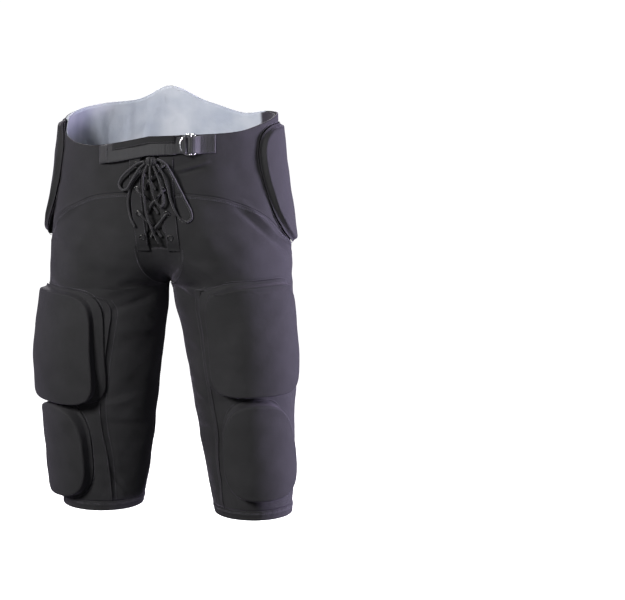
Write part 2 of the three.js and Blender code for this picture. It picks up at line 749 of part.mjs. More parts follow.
// The tied bow. Each route is a list of places chosen by hand: across, height and lift.
const knot = { across: 3, height: -47, lift: 10, wide: 17, tall: 12, deep: 9 };
const laceRoutes = {
  lace_loop_left: [
    [-9, -47.6, 10.5], [-14.5, -50, 11], [-24, -57, 10], [-34, -65, 8.4], [-41, -73, 6.6],
    [-43.5, -80, 6], [-38.5, -86, 7.4], [-31, -84, 9.6], [-24.5, -75, 11.4], [-18, -65, 12.2],
    [-12.5, -57, 12.2], [-6.4, -50.6, 11.4],
  ],
  lace_loop_middle: [
    [2.6, -54.5, 11], [2.8, -62, 13], [3, -74, 13.4], [5, -88, 12.6], [8, -100, 11.4],
    [12.5, -106, 10.4], [16.5, -101, 10.4], [16.5, -90, 11.4], [14.5, -76, 12.6],
    [11, -64, 12.4], [8, -55.5, 11],
  ],
  lace_loop_right: [
    [12.5, -43, 11], [20, -50, 12], [28, -65, 11.6], [36, -84, 8], [43.5, -102, 4.6],
    [48, -114, 2.8], [47.5, -123.5, 2.3], [41, -127.5, 2.3], [34, -123, 3.4], [28.4, -111, 5.4],
    [24.5, -96, 7.6], [22, -80, 11], [18, -64, 12.6], [12.8, -52.5, 11.4],
  ],
  lace_end_left: [
    [-4.6, -53.2, 7.6], [-11, -62, 7.2], [-20, -72, 6.4], [-27.5, -84, 5.2], [-32, -98, 4.6],
    [-33, -112, 3.4], [-31, -124, 4.4], [-27, -134, 6.2],
  ],
  lace_end_right: [
    [-2.6, -54.6, 12], [-6.4, -64, 12], [-8.5, -78, 10.4], [-8.6, -94, 9.8], [-8, -110, 9.8],
    [-5.4, -126, 9.8], [-1.5, -141, 8.6], [3, -155, 6.4],
  ],
};

// Where a cord leaves the knot: on the knot's face, on the way to a place outside it.
function knotMouth([across, z, lift]) {
  const way = [across - knot.across, z - knot.height, lift - knot.lift];
  const reach = Math.hypot(2 * way[0] / knot.wide, 2 * way[1] / knot.tall, 2 * way[2] / knot.deep);
  const share = 1 / reach + knotGap / Math.hypot(...way);
  return [knot.across + way[0] * share, knot.height + way[1] * share, knot.lift + way[2] * share];
}

const loopSteps = 16;
const endSteps = 12;

function bow() {
  const ball = new THREE.SphereGeometry(0.5, 10, 7);
  ball.scale(knot.wide, knot.deep, knot.tall);
  const middle = onFront(knot.across, knot.height, knot.lift);
  ball.translate(middle.x, middle.y, middle.z);
  addPiece('lace_knot', ball, 'cord');
  for (const [name, route] of Object.entries(laceRoutes)) {
    const isLoop = name.includes('loop');
    const points = route.map((place, index) => {
      const atKnot = index === 0 || (isLoop && index === route.length - 1);
      return onFront(...(atKnot ? knotMouth(place) : place));
    });
    addPiece(name, cordBody(points, isLoop ? loopSteps : endSteps), 'cord');
  }
}

for (const half of Object.values(halves)) {
  legPanel(half);
  hipYoke(half);
  legHem(half);
  pads.forEach((pad) => limbPad(pad, half));
  for (let row = 0; row < eyeletRows; row += 1) {
    eyelet(half, row);
  }
}
seatPanel();
waistLining();
flyPieces();
beltPieces();
laceCrossings();
bow();
addPiece('tail_pad', padBody(tailPad,
  (across, up, lift) => onSeat(across, up + tailPad.tall / 2 - tailPad.bottom, lift)), 'padCloth');

export default pants;
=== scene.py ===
import bpy
import numpy as np
from mathutils import Euler, Matrix


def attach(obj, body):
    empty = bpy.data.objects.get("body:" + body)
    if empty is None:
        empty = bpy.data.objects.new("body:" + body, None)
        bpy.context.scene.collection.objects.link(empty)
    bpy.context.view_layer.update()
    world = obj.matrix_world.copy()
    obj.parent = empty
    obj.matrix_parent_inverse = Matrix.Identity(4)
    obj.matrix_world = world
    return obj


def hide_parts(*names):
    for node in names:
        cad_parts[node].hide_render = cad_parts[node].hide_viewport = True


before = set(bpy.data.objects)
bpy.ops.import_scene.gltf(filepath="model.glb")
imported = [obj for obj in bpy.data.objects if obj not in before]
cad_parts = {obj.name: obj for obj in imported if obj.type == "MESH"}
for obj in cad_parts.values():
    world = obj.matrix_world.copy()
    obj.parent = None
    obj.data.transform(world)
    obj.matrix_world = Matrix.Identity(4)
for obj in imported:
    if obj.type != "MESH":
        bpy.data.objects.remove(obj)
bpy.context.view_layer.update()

# Football pants in metres, worn by nobody. The wearer faces -Y, and +X is the wearer's left.
# Height 0 is the side of the waist rim, and a level is a share of the outseam below it.
OUTSEAM = 0.545
HALF_WIDTH = 0.334 / 2
HALF_DEPTH = 0.216 / 2
WAIST_SHIFT = 0.015
TAIL_PEAK = 0.025
FRONT_DIP = 0.030
CROTCH_DROP = 0.223
GUSSET_DROP = 0.242
GUSSET_HALF = 0.030
SEAT_HALF = 0.052
FLY_HALF = 0.012
FLY_BASE = 0.165
SLIM_RUN = 0.065
SEAM_GAP = 0.0003
LAY_GAP = 0.0006
CLOTH_WALL = 0.002
LINING_WALL = 0.0012
LINING_GAP = 0.0014     # from the cloth to the lining
LINING_DEPTH = 0.110
LINING_FROM = 0.032
HEM_WIDTH = 0.014
HEM_WALL = 0.0014
PLACKET_TOP = 0.042
PLACKET_WIDTH = 0.017
PLACKET_WALL = 0.0015
GORE_HALF = 0.027
STRAP_WIDTH = 0.024
STRAP_FROM = -0.074
RING_ACROSS, RING_TALL, RING_WIDE, RING_WIRE = 0.048, 0.030, 0.017, 0.003
RING_STAGGER = 0.005
EYELET_ACROSS, EYELET_TOP, EYELET_STEP, EYELET_ROWS = 0.019, 0.053, 0.032, 4
EYELET_OUTER = 0.0046
LACE_WIDE = 0.0032

# Sections of one half: level, then out and mid as shares of half the hip width, and front and
# back as shares of half the hip depth.
CUT = np.array([
    (-0.08, 0.865, 0, 0.91, 0.955),
    (0, 0.872, 0, 0.93, 0.98),
    (0.11, 0.905, 0.005, 0.955, 1.04),
    (0.2, 0.945, 0.07, 0.965, 1.11),
    (0.275, 0.975, 0.19, 0.945, 1.13),
    (0.339, 0.994, 0.335, 0.89, 1.074),
    (0.378, 1.0, 0.437, 0.833, 0.981),
    (CROTCH_DROP / OUTSEAM, 1.006, 0.503, 0.796, 0.907),
    (0.468, 1.018, 0.521, 0.769, 0.833),
    (0.591, 1.042, 0.563, 0.741, 0.741),
    (0.73, 1.01, 0.581, 0.667, 0.657),
    (0.853, 0.995, 0.605, 0.611, 0.63),
    (1.0, 0.976, 0.641, 0.52, 0.537),
])
# Waist rim: turn round each half, and the drop as a share of the front dip.
RIM = {
    "left": np.array([(0, 0.5), (0.12, 0.42), (0.28, 0.3), (0.4, -0.05), (0.5, -0.3), (0.62, -0.3),
                      (0.74, -0.1), (0.86, -0.42), (1, -0.4)]),
    "right": np.array([(0, 0.5), (0.14, 0.86), (0.25, 1), (0.36, 0.85), (0.44, 0.5), (0.52, 0),
                       (0.7, -0.4), (0.86, -0.5), (1, -0.4)]),
}
# Seam under the hip yokes: turn and level.
YOKE_SEAM = np.array([
    (0, 0.165), (0.12, 0.167), (0.24, 0.183), (0.39, 0.235), (0.5, 0.316), (0.59, 0.334),
    (0.64, 0.316), (0.7, 0.257), (0.78, 0.185), (0.87, 0.132), (1, 0.117)])


class Half:
    """One half of the pants and how it is worn: out and back at the hem, and out at the hip."""

    def __init__(self, name, side, splay, stride, slim, flare):
        self.name, self.side, self.splay, self.stride = name, side, splay, stride
        self.slim, self.flare = slim, flare


LEFT = Half("left", 1, 0.008, -0.008, 0.04, 0.002)
RIGHT = Half("right", -1, -0.008, 0.020, 0.0, 0.009)
HALVES = (LEFT, RIGHT)


def table_value(table, column, at):
    """One column of a table at places between its rows, on a smooth curve through them."""
    at = np.asarray(at, float)
    keys, values = table[:, 0], table[:, column]
    last = len(keys) - 1
    row = np.clip(np.searchsorted(keys, at, side="left") - 1, 0, last - 1)
    before, after = np.maximum(row - 1, 0), np.minimum(row + 2, last)
    span = keys[row + 1] - keys[row]

    def slope(a, b):
        return (values[b] - values[a]) / (keys[b] - keys[a])

    t = np.clip((at - keys[row]) / span, 0, 1)
    return ((2 * t**3 - 3 * t**2 + 1) * values[row]
            + (t**3 - 2 * t**2 + t) * span * slope(before, row + 1)
            + (3 * t**2 - 2 * t**3) * values[row + 1]
            + (t**3 - t**2) * span * slope(row, after))


def smooth(x):
    t = np.clip(x, 0, 1)
    return t * t * (3 - 2 * t)


def mix(a, b, t):
    return a + (b - a) * t


def unit(v):
    return v / np.maximum(np.linalg.norm(v, axis=-1, keepdims=True), 1e-12)


def circle(sides):
    """Even angles round a circle, without the last that meets the first."""
    return np.linspace(0, 2 * np.pi, sides, endpoint=False)


def signed_power(value, power):
    return np.sign(value) * np.abs(value) ** power


def run_along(path):
    """Length along a path up to each of its points."""
    return np.concatenate([[0], np.cumsum(np.linalg.norm(np.diff(path, axis=0), axis=-1))])


ARC_STEPS = 48


def arcs(z):
    """Half sections at heights z: running lengths round an oval about `mid`, and its sizes."""
    level = -np.asarray(z, float) / OUTSEAM
    out = table_value(CUT, 1, level) * HALF_WIDTH
    mid = table_value(CUT, 2, level) * HALF_WIDTH
    front = table_value(CUT, 3, level) * HALF_DEPTH
    back = table_value(CUT, 4, level) * HALF_DEPTH
    reach = out - mid
    end = np.arccos(-np.minimum(mid / reach, 1))
    angle = end[..., None] * np.linspace(-1, 1, ARC_STEPS + 1)
    x = mid[..., None] + reach[..., None] * np.cos(angle)
    y = np.where(np.sin(angle) < 0, front[..., None], back[..., None]) * np.sin(angle)
    step = np.hypot(np.diff(x, axis=-1), np.diff(y, axis=-1))
    lengths = np.concatenate([np.zeros_like(step[..., :1]), np.cumsum(step, axis=-1)], axis=-1)
    return lengths, out, mid, reach, front, back, end


def half_girth(z):
    """Length round one half at each height."""
    z = np.atleast_1d(np.asarray(z, float))
    levels, place = np.unique(np.round(z, 7), return_inverse=True)
    return arcs(levels)[0][:, -1][place].reshape(z.shape)


HALF_WAIST = half_girth(0)[0]


def cloth_point(half, turn, z):
    """The outer cloth: turn 0 is the front middle or the inseam, 0.5 the side, 1 the back."""
    turn, z = np.broadcast_arrays(np.asarray(turn, float), np.asarray(z, float))
    shape = turn.shape
    turn, z = turn.ravel(), z.ravel()
    lengths, out, mid, reach, front, back, end = arcs(z)
    wanted = np.clip(turn, 0, 1) * lengths[:, -1]
    step = np.clip((lengths < wanted[:, None]).sum(axis=1), 1, ARC_STEPS)
    rows = np.arange(len(z))
    low, high = lengths[rows, step - 1], lengths[rows, step]
    part = (wanted - low) / (high - low)
    angle = end * (2 * (step - 1 + part) / ARC_STEPS - 1)
    x = mid + reach * np.cos(angle)
    y = np.where(np.sin(angle) < 0, front, back) * np.sin(angle)
    level = -z / OUTSEAM
    below, above = smooth((level - 0.42) / 0.58), 1 - smooth((level - 0.1) / 0.3)
    shift = -WAIST_SHIFT * above * (1 - x / out)
    drawn = half.slim * smooth((-z - CROTCH_DROP) / SLIM_RUN) * (out - x)
    return np.stack([half.side * (x + drawn + half.splay * below) + shift,
                     y + half.stride * below, z], axis=-1).reshape(*shape, 3)


def outward(half, turn, z):
    """Unit normal of the outer cloth."""
    along = cloth_point(half, turn + 0.004, z) - cloth_point(half, turn - 0.004, z)
    up = cloth_point(half, turn, z + 0.001) - cloth_point(half, turn, z - 0.001)
    return half.side * unit(np.cross(along, up))


def raised(half, turn, z, lift):
    turn, z, lift = np.broadcast_arrays(turn, z, lift)
    return cloth_point(half, turn, z) + outward(half, turn, z) * np.asarray(lift)[..., None]


def on_front(across, z, lift):
    """A place across the front: metres from its middle, positive to the wearer's left."""
    across, z, lift = np.broadcast_arrays(np.asarray(across, float), z, lift)
    girth = half_girth(z)
    straight = unit(outward(LEFT, 0 * z, z) + outward(RIGHT, 0 * z, z))
    places = [cloth_point(h, np.abs(across) / girth, z) for h in HALVES]
    ways = [outward(h, np.abs(across) / girth, z) for h in HALVES]
    right = (across < 0)[..., None]
    share = smooth(np.abs(across) / GUSSET_HALF)[..., None]
    way = unit(mix(straight, np.where(right, ways[1], ways[0]), share))
    return np.where(right, places[1], places[0]) + way * lift[..., None]


def rim_height(half, turn):
    away = (1 - turn) * HALF_WAIST / SEAT_HALF
    peak = TAIL_PEAK * np.exp(-2.2 * away**2)
    return peak - table_value(RIM[half.name], 1, turn) * FRONT_DIP


def yoke_height(turn):
    return -table_value(YOKE_SEAM, 1, turn) * OUTSEAM


def round_end(share):
    return np.sqrt(1 - (1 - np.clip(share, 0, 1)) ** 2)


def front_edge(z):
    """Distance of the front cut edge from the front middle."""
    still_open = FLY_HALF * (1 - 0.25 * smooth(-z / FLY_BASE))
    widen = smooth((-z - FLY_BASE + 0.028) / 0.028)
    close = round_end((GUSSET_DROP + z) / (GUSSET_DROP - FLY_BASE))
    return mix(still_open, GUSSET_HALF * close, widen)


def back_edge(z):
    return SEAT_HALF * round_end((GUSSET_DROP + z) / (GUSSET_DROP - FLY_BASE))


# Camera, at the photograph's viewing angle: 8 degrees to the wearer's left, a little from above.
EYE_AZIMUTH = np.radians(8)
EYE_AWAY, EYE_HEIGHT = 3.0, 0.27
LOOK_AT = (0, 0, -0.25)
AIM_ASIDE = np.radians(3.735)     # the pants hang left of the frame's middle
LENS = 126.6


def make_camera():
    data = bpy.data.cameras.new("photo_camera")
    data.lens = LENS
    data.sensor_width = 36
    data.clip_end = 200
    camera = bpy.data.objects.new("photo_camera", data)
    bpy.context.collection.objects.link(camera)
    eye = np.array([EYE_AWAY * np.sin(EYE_AZIMUTH), -EYE_AWAY * np.cos(EYE_AZIMUTH), EYE_HEIGHT])
    camera.location = eye
    down = np.arctan2(EYE_HEIGHT - LOOK_AT[2], EYE_AWAY)
    # Aimed aside, the camera is turned about its own axis so that the pants stay upright.
    lean = Matrix.Rotation(AIM_ASIDE * np.sin(down), 3, "Z")
    aim = Euler((np.pi / 2 - down, 0, EYE_AZIMUTH - AIM_ASIDE)).to_matrix()
    camera.rotation_euler = (aim @ lean).to_euler()
    bpy.context.scene.camera = camera


make_camera()


# Materials
class Wire:
    """A number socket of a material; adding, multiplying and so on makes one Math node each."""

    def __init__(self, cloth, socket):
        self.cloth, self.socket = cloth, socket

    def math(self, operation, *others, reverse=False):
        values = [self, *others]
        if reverse:
            values.reverse()
        return self.cloth.node("Math", dict(enumerate(values)), operation=operation).out()

    def __add__(self, other):
        return self.math("ADD", other)

    def __sub__(self, other):
        return self.math("SUBTRACT", other)

    def __mul__(self, other):
        return self.math("MULTIPLY", other)

    def __truediv__(self, other):
        return self.math("DIVIDE", other)

    def __pow__(self, other):
        return self.math("POWER", other)

    def __radd__(self, other):
        return self.math("ADD", other, reverse=True)

    def __rsub__(self, other):
        return self.math("SUBTRACT", other, reverse=True)

    def __rmul__(self, other):
        return self.math("MULTIPLY", other, reverse=True)

    def sine(self):
        return self.math("SINE")

    def size(self):
        return self.math("ABSOLUTE")

    def most(self, other):
        return self.math("MAXIMUM", other)

    def ramp(self, low, high):
        """0 below low, 1 above high and smooth between."""
        return self.cloth.node("MapRange", {"Value": self, "From Min": low, "From Max": high},
                               interpolation_type="SMOOTHSTEP").out()


class Made:
    """A node, whose sockets are read by name."""

    def __init__(self, cloth, node):
        self.cloth, self.node = cloth, node

    def out(self, name=0):
        return Wire(self.cloth, self.node.outputs[name])


class Finish:
    """A material with one Principled shader, built through one node() method."""

    def __init__(self, name, **fixed):
        self.material = bpy.data.materials.new(name)
        self.material.use_nodes = True
        self.tree = self.material.node_tree
        self.tree.nodes.clear()
        self.shader = self.node("BsdfPrincipled", {}).node
        end = self.node("OutputMaterial", {}).node
        self.tree.links.new(self.shader.outputs[0], end.inputs[0])
        for key, value in fixed.items():
            self.shader.inputs[key.replace("_", " ").title().replace("Ior", "IOR")].default_value = value

    def node(self, kind, inputs, **settings):
        node = self.tree.nodes.new("ShaderNode" + kind)
        for key, value in settings.items():
            setattr(node, key, value)
        for key, value in inputs.items():
            if isinstance(value, Wire):
                self.tree.links.new(value.socket, node.inputs[key])
            else:
                node.inputs[key].default_value = value
        return Made(self, node)

    def set(self, name, wire):
        self.tree.links.new(wire.socket, self.shader.inputs[name])

    def flat_place(self):
        """Metres across and along the cloth, from its UV map."""
        split = self.node("SeparateXYZ", {0: self.node("UVMap", {}).out()})
        return split.out("X"), split.out("Y")

    def place(self):
        return self.node("TexCoord", {}).out("Object")

    def noise(self, place, cells, detail=2.0, rough=0.5):
        """Noise from 0 to 1 with that many cells to a metre."""
        return self.node("TexNoise", {"Vector": place, "Scale": cells, "Detail": detail,
                                      "Roughness": rough}).out(0)

    def blend(self, share, one, other):
        node = self.node("Mix", {0: share, 6: one, 7: other}, data_type="RGBA")
        return node.out(2)

    def attribute(self, name):
        return self.node("Attribute", {}, attribute_name=name).out("Fac")

    def bump(self, height, distance, strength=1.0, after=None):
        inputs = {"Height": height, "Distance": distance, "Strength": strength}
        if after is not None:
            inputs["Normal"] = after
        return self.node("Bump", inputs).out()


WEAVE_TURN = 2 * np.pi


def knit_finish(name, dark, light, wale=0.0011, course=0.0013, sheen=0.5):
    """Fine warp knit: rows of small loops, a little heathered, with a soft violet sheen."""
    cloth = Finish(name, roughness=0.82, sheen_weight=sheen, sheen_roughness=0.38,
                   sheen_tint=(0.78, 0.68, 0.95, 1), specular_ior_level=0.28)
    u, v = cloth.flat_place()
    place = cloth.place()
    broad = cloth.noise(place, 26, 3)
    fine = cloth.noise(place, 900, 2, 0.7)
    rows = ((u * (WEAVE_TURN / wale)).sine().size()) * ((v * (WEAVE_TURN / course) / 2
                                                        + u * (WEAVE_TURN / wale) / 2).sine().size())
    tone = (broad * 0.55 + fine * 0.25 + rows * 0.3).ramp(0.3, 0.95)
    cloth.set("Base Color", cloth.blend(tone, (*dark, 1), (*light, 1)))
    cloth.set("Roughness", 0.74 + broad * 0.16)
    soft = cloth.bump(cloth.noise(place, 70, 2), 0.0016, 0.3)
    cloth.set("Normal", cloth.bump(rows * 0.8 + fine * 0.4, 0.00028, 0.55, soft))
    return cloth.material


def lining_finish():
    """Pale, close tricot with a faint blue shade and fine ribs."""
    cloth = Finish("lining_tricot", roughness=0.85, sheen_weight=0.15, sheen_roughness=0.5,
                   specular_ior_level=0.2)
    u, v = cloth.flat_place()
    place = cloth.place()
    broad = cloth.noise(place, 18, 3)
    rows = (u * (WEAVE_TURN / 0.0012)).sine() * 0.5 + 0.5
    dark = cloth.attribute("dark_part")
    pale = cloth.blend(broad.ramp(0.25, 0.8), (0.31, 0.34, 0.41, 1), (0.47, 0.49, 0.54, 1))
    cloth.set("Base Color", cloth.blend(dark, pale, (0.022, 0.018, 0.028, 1)))
    soft = cloth.bump(cloth.noise(place, 60, 3), 0.004, 0.35)
    cloth.set("Normal", cloth.bump(rows + cloth.noise(place, 700) * 0.5, 0.0002, 0.5, soft))
    return cloth.material


def webbing_finish(name, dark, light):
    """Flat woven band: ribs across, herringbone along."""
    cloth = Finish(name, roughness=0.6, sheen_weight=0.25, sheen_roughness=0.4,
                   sheen_tint=(0.8, 0.72, 0.95, 1), specular_ior_level=0.4)
    u, v = cloth.flat_place()
    ribs = (v * (WEAVE_TURN / 0.0018) + (u * (WEAVE_TURN / 0.004)).sine() * 0.8).sine() * 0.5 + 0.5
    yarn = (u * (WEAVE_TURN / 0.0009)).sine() * 0.5 + 0.5
    grain = cloth.noise(cloth.place(), 500, 2, 0.7)
    tone = (ribs * 0.5 + yarn * 0.2 + grain * 0.3).ramp(0.2, 0.9)
    cloth.set("Base Color", cloth.blend(tone, (*dark, 1), (*light, 1)))
    cloth.set("Roughness", 0.5 + grain * 0.2)
    cloth.set("Normal", cloth.bump(ribs + yarn * 0.5, 0.0003, 0.7))
    return cloth.material


def lace_finish():
    """Round braid: strands winding both ways round the cord."""
    cloth = Finish("lace_braid", roughness=0.62, sheen_weight=0.2, sheen_roughness=0.4,
                   specular_ior_level=0.4)
    u, v = cloth.flat_place()
    one = (v * (WEAVE_TURN / 0.0036) + u * (WEAVE_TURN * 3 / 0.01)).sine()
    other = (v * (WEAVE_TURN / 0.0036) - u * (WEAVE_TURN * 3 / 0.01)).sine()
    braid = one.most(other) * 0.5 + 0.5
    grain = cloth.noise(cloth.place(), 1400, 2)
    cloth.set("Base Color", cloth.blend((braid * 0.7 + grain * 0.4).ramp(0.2, 1.0),
                                        (0.004, 0.004, 0.005, 1), (0.022, 0.021, 0.025, 1)))
    cloth.set("Roughness", 0.52 + grain * 0.2)
    cloth.set("Normal", cloth.bump(braid + grain * 0.3, 0.0005, 0.8))
    return cloth.material


def nickel_finish():
    """Bright plated wire with fine draw lines and small dull marks."""
    metal = Finish("ring_nickel", metallic=1.0, roughness=0.2)
    place = metal.place()
    marks = metal.noise(place, 300, 4, 0.6)
    metal.set("Base Color", metal.blend(marks.ramp(0.35, 0.7), (0.62, 0.62, 0.64, 1),
                                        (0.83, 0.83, 0.85, 1)))
    metal.set("Roughness", 0.13 + marks.ramp(0.4, 0.75) * 0.2)
    metal.set("Normal", metal.bump(metal.noise(place, 1500), 0.00008, 0.4))
    return metal.material


def eyelet_finish():
    """Black lacquer over brass: bright in small random patches where it is worn."""
    metal = Finish("eyelet_lacquer", metallic=0.7, roughness=0.3)
    marks = metal.noise(metal.place(), 700, 3, 0.6)
    metal.set("Base Color", metal.blend(marks.ramp(0.56, 0.7), (0.02, 0.02, 0.022, 1),
                                        (0.35, 0.34, 0.33, 1)))
    metal.set("Roughness", 0.22 + marks * 0.2)
    metal.set("Normal", metal.bump(marks, 0.0001, 0.4))
    return metal.material


def thread_finish():
    thread = Finish("seam_thread", roughness=0.6, sheen_weight=0.3, sheen_roughness=0.4,
                    sheen_tint=(0.8, 0.74, 0.95, 1), specular_ior_level=0.35)
    grain = thread.noise(thread.place(), 1600)
    thread.set("Base Color", thread.blend(grain.ramp(0.3, 0.7), (0.012, 0.012, 0.014, 1),
                                          (0.05, 0.048, 0.056, 1)))
    thread.set("Normal", thread.bump(grain, 0.0002, 0.5))
    return thread.material


knit = knit_finish("game_knit", (0.0085, 0.0085, 0.0095), (0.024, 0.0235, 0.026), sheen=0.1)
pad_knit = knit_finish("pad_knit", (0.0095, 0.0095, 0.0105), (0.025, 0.0245, 0.027), sheen=0.1)
hem_knit = knit_finish("hem_rib", (0.008, 0.008, 0.009), (0.022, 0.0215, 0.024), wale=0.0016, sheen=0.1)
# The gore's knit is a darker copy of the game knit with less sheen: painted shade for its place deep
# behind the opening.
gore_knit_painted_shade = knit_finish("gore_knit_painted_shade", (0.004, 0.004, 0.0045), (0.010, 0.010, 0.011), sheen=0.03)
lining = lining_finish()
strap_webbing = webbing_finish("strap_webbing", (0.010, 0.010, 0.012), (0.026, 0.026, 0.029))
lace_braid = lace_finish()
nickel = nickel_finish()
lacquer = eyelet_finish()
thread = thread_finish()


# Meshes
def piece_from(name, points, faces, uv, finish, slot, smooth_faces=True):
    """Object from arrays: points (N, 3), faces (M, 4) with triangles ending in -1, UV per point."""
    mesh = bpy.data.meshes.new(name)
    sizes = np.where(faces[:, 3] < 0, 3, 4)
    loops = faces.ravel()[faces.ravel() >= 0]
    mesh.vertices.add(len(points))
    mesh.vertices.foreach_set("co", np.asarray(points, np.float32).ravel())
    mesh.loops.add(len(loops))
    mesh.loops.foreach_set("vertex_index", loops.astype(np.int32))
    mesh.polygons.add(len(faces))
    starts = np.concatenate([[0], np.cumsum(sizes)[:-1]])
    mesh.polygons.foreach_set("loop_start", starts.astype(np.int32))
    mesh.polygons.foreach_set("use_smooth", np.full(len(faces), smooth_faces))
    layer = mesh.uv_layers.new(name="UVMap")
    layer.data.foreach_set("uv", np.asarray(uv, np.float32)[loops].ravel())
    mesh.update(calc_edges=True)
    mesh.validate()
    piece = bpy.data.objects.new(name, mesh)
    bpy.context.collection.objects.link(piece)
    mesh.materials.append(finish)
    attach(piece, "root")
    return piece


def grid_faces(rows, columns, wrap_rows=False, wrap_columns=False):
    """Four-sided faces of a grid of points, joined round where it wraps."""
    r = np.arange(rows if wrap_rows else rows - 1)[:, None]
    c = np.arange(columns if wrap_columns else columns - 1)[None, :]
    a, b = r * columns + c, r * columns + (c + 1) % columns
    down = (r + 1) % rows
    return np.stack([a, b, down * columns + (c + 1) % columns, down * columns + c],
                    axis=-1).reshape(-1, 4)


def volume_of(points, faces):
    a, b, c = points[faces[:, 0]], points[faces[:, 1]], points[faces[:, 2]]
    d = np.where((faces[:, 3] < 0)[:, None], c, points[faces[:, 3]])
    return (np.einsum("ij,ij->i", a, np.cross(b, c)) + np.einsum("ij,ij->i", a, np.cross(c, d))).sum()


def turned_out(points, faces):
    """Faces turned round if the closed body is inside out."""
    if volume_of(points, faces) > 0:
        return faces
    flipped = faces[:, [0, 3, 2, 1]]
    three = faces[:, 3] < 0
    flipped[three] = faces[three][:, [0, 2, 1, 3]]
    return flipped


def ring_arrays(rings, uv, closed=False):
    """Rings of points (R, S, 3) as a body, capped by a point at both ends or joined round."""
    count, sides = rings.shape[:2]
    points, flat = rings.reshape(-1, 3), uv.reshape(-1, 2)
    faces = grid_faces(count, sides, wrap_rows=closed, wrap_columns=True)
    if not closed:
        hubs = np.stack([rings[0].mean(axis=0), rings[-1].mean(axis=0)])
        side = np.arange(sides)
        after = (side + 1) % sides
        last = (count - 1) * sides
        none = np.full(sides, -1)
        faces = np.vstack([
            faces,
            np.stack([np.full(sides, count * sides), after, side, none], axis=-1),
            np.stack([np.full(sides, count * sides + 1), last + side, last + after, none], axis=-1)])
        points = np.vstack([points, hubs])
        flat = np.vstack([flat, uv[0].mean(axis=0)[None], uv[-1].mean(axis=0)[None]])
    return points, turned_out(points, faces), flat


def ring_body(name, rings, uv, finish, slot, closed=False):
    return piece_from(name, *ring_arrays(rings, uv, closed), finish, slot)


def bundle(name, parts, finish, slot):
    """Several bodies as one piece."""
    count, points, faces, flat = 0, [], [], []
    for part_points, part_faces, part_flat in parts:
        points.append(part_points)
        faces.append(np.where(part_faces < 0, -1, part_faces + count))
        flat.append(part_flat)
        count += len(part_points)
    return piece_from(name, np.vstack(points), np.vstack(faces), np.vstack(flat), finish, slot)


def sheet_piece(name, outer, inner, uv, finish, slot, wrap=False):
    """Cloth with a wall: an outer and an inner grid (R, C, 3), joined round their rims."""
    rows, columns = outer.shape[:2]
    count = rows * columns
    top = grid_faces(rows, columns, wrap_columns=wrap)
    faces = [top, top[:, ::-1] + count]

    def rim(ids):
        a, b = ids[:-1], ids[1:]
        faces.append(np.stack([b, a, a + count, b + count], axis=-1))

    across, down = np.arange(columns), np.arange(rows) * columns
    if wrap:
        across = np.append(across, 0)
    else:
        rim(down[::-1])
        rim(down + columns - 1)
    rim(across)
    rim((across + (rows - 1) * columns)[::-1])
    points = np.vstack([outer.reshape(-1, 3), inner.reshape(-1, 3)])
    faces = turned_out(points, np.vstack(faces))
    flat = np.vstack([uv.reshape(-1, 2)] * 2)
    return piece_from(name, points, faces, flat, finish, slot)


def spline(knots, count):
    """Smooth curve through points by cubic arcs with shared slopes, at even steps of length."""
    knots = np.asarray(knots, float)
    chord = np.concatenate([[0], np.cumsum(np.linalg.norm(np.diff(knots, axis=0), axis=1) ** 0.5)])
    slopes = np.gradient(knots, chord, axis=0)
    dense = np.linspace(0, chord[-1], 40 * len(knots))
    row = np.clip(np.searchsorted(chord, dense, side="right") - 1, 0, len(knots) - 2)
    span = (chord[row + 1] - chord[row])[:, None]
    t = (dense - chord[row])[:, None] / span
    curve = ((2 * t**3 - 3 * t**2 + 1) * knots[row] + (t**3 - 2 * t**2 + t) * span * slopes[row]
             + (3 * t**2 - 2 * t**3) * knots[row + 1] + (t**3 - t**2) * span * slopes[row + 1])
    length = run_along(curve)
    at = np.linspace(0, length[-1], count)
    return np.stack([np.interp(at, length, curve[:, k]) for k in range(3)], axis=-1)


def tube_arrays(path, radius, sides=14, shape=None, facing=None):
    """Round body along a path: each ring is the radius times (cosine, sine) in the two directions
    across the path, the first turned to `facing`. `shape` holds a share of the radius per ring."""
    along = unit(np.gradient(path, axis=0))
    up = np.broadcast_to(np.array([0.0, -1.0, 0.0]) if facing is None else facing, path.shape)
    sideways = unit(np.cross(along, up))
    up = np.cross(sideways, along)
    angle = circle(sides)
    share = np.ones(len(path)) if shape is None else shape
    size = (radius * share)[:, None, None]
    rings = (path[:, None] + size * (np.cos(angle)[None, :, None] * sideways[:, None]
                                     + np.sin(angle)[None, :, None] * up[:, None]))
    run = run_along(path)
    uv = np.stack(np.broadcast_arrays(np.linspace(0, 0.01, sides)[None, :], run[:, None]), axis=-1)
    return ring_arrays(rings, uv)


def tube(name, path, radius, finish, slot, **form):
    return piece_from(name, *tube_arrays(path, radius, **form), finish, slot)


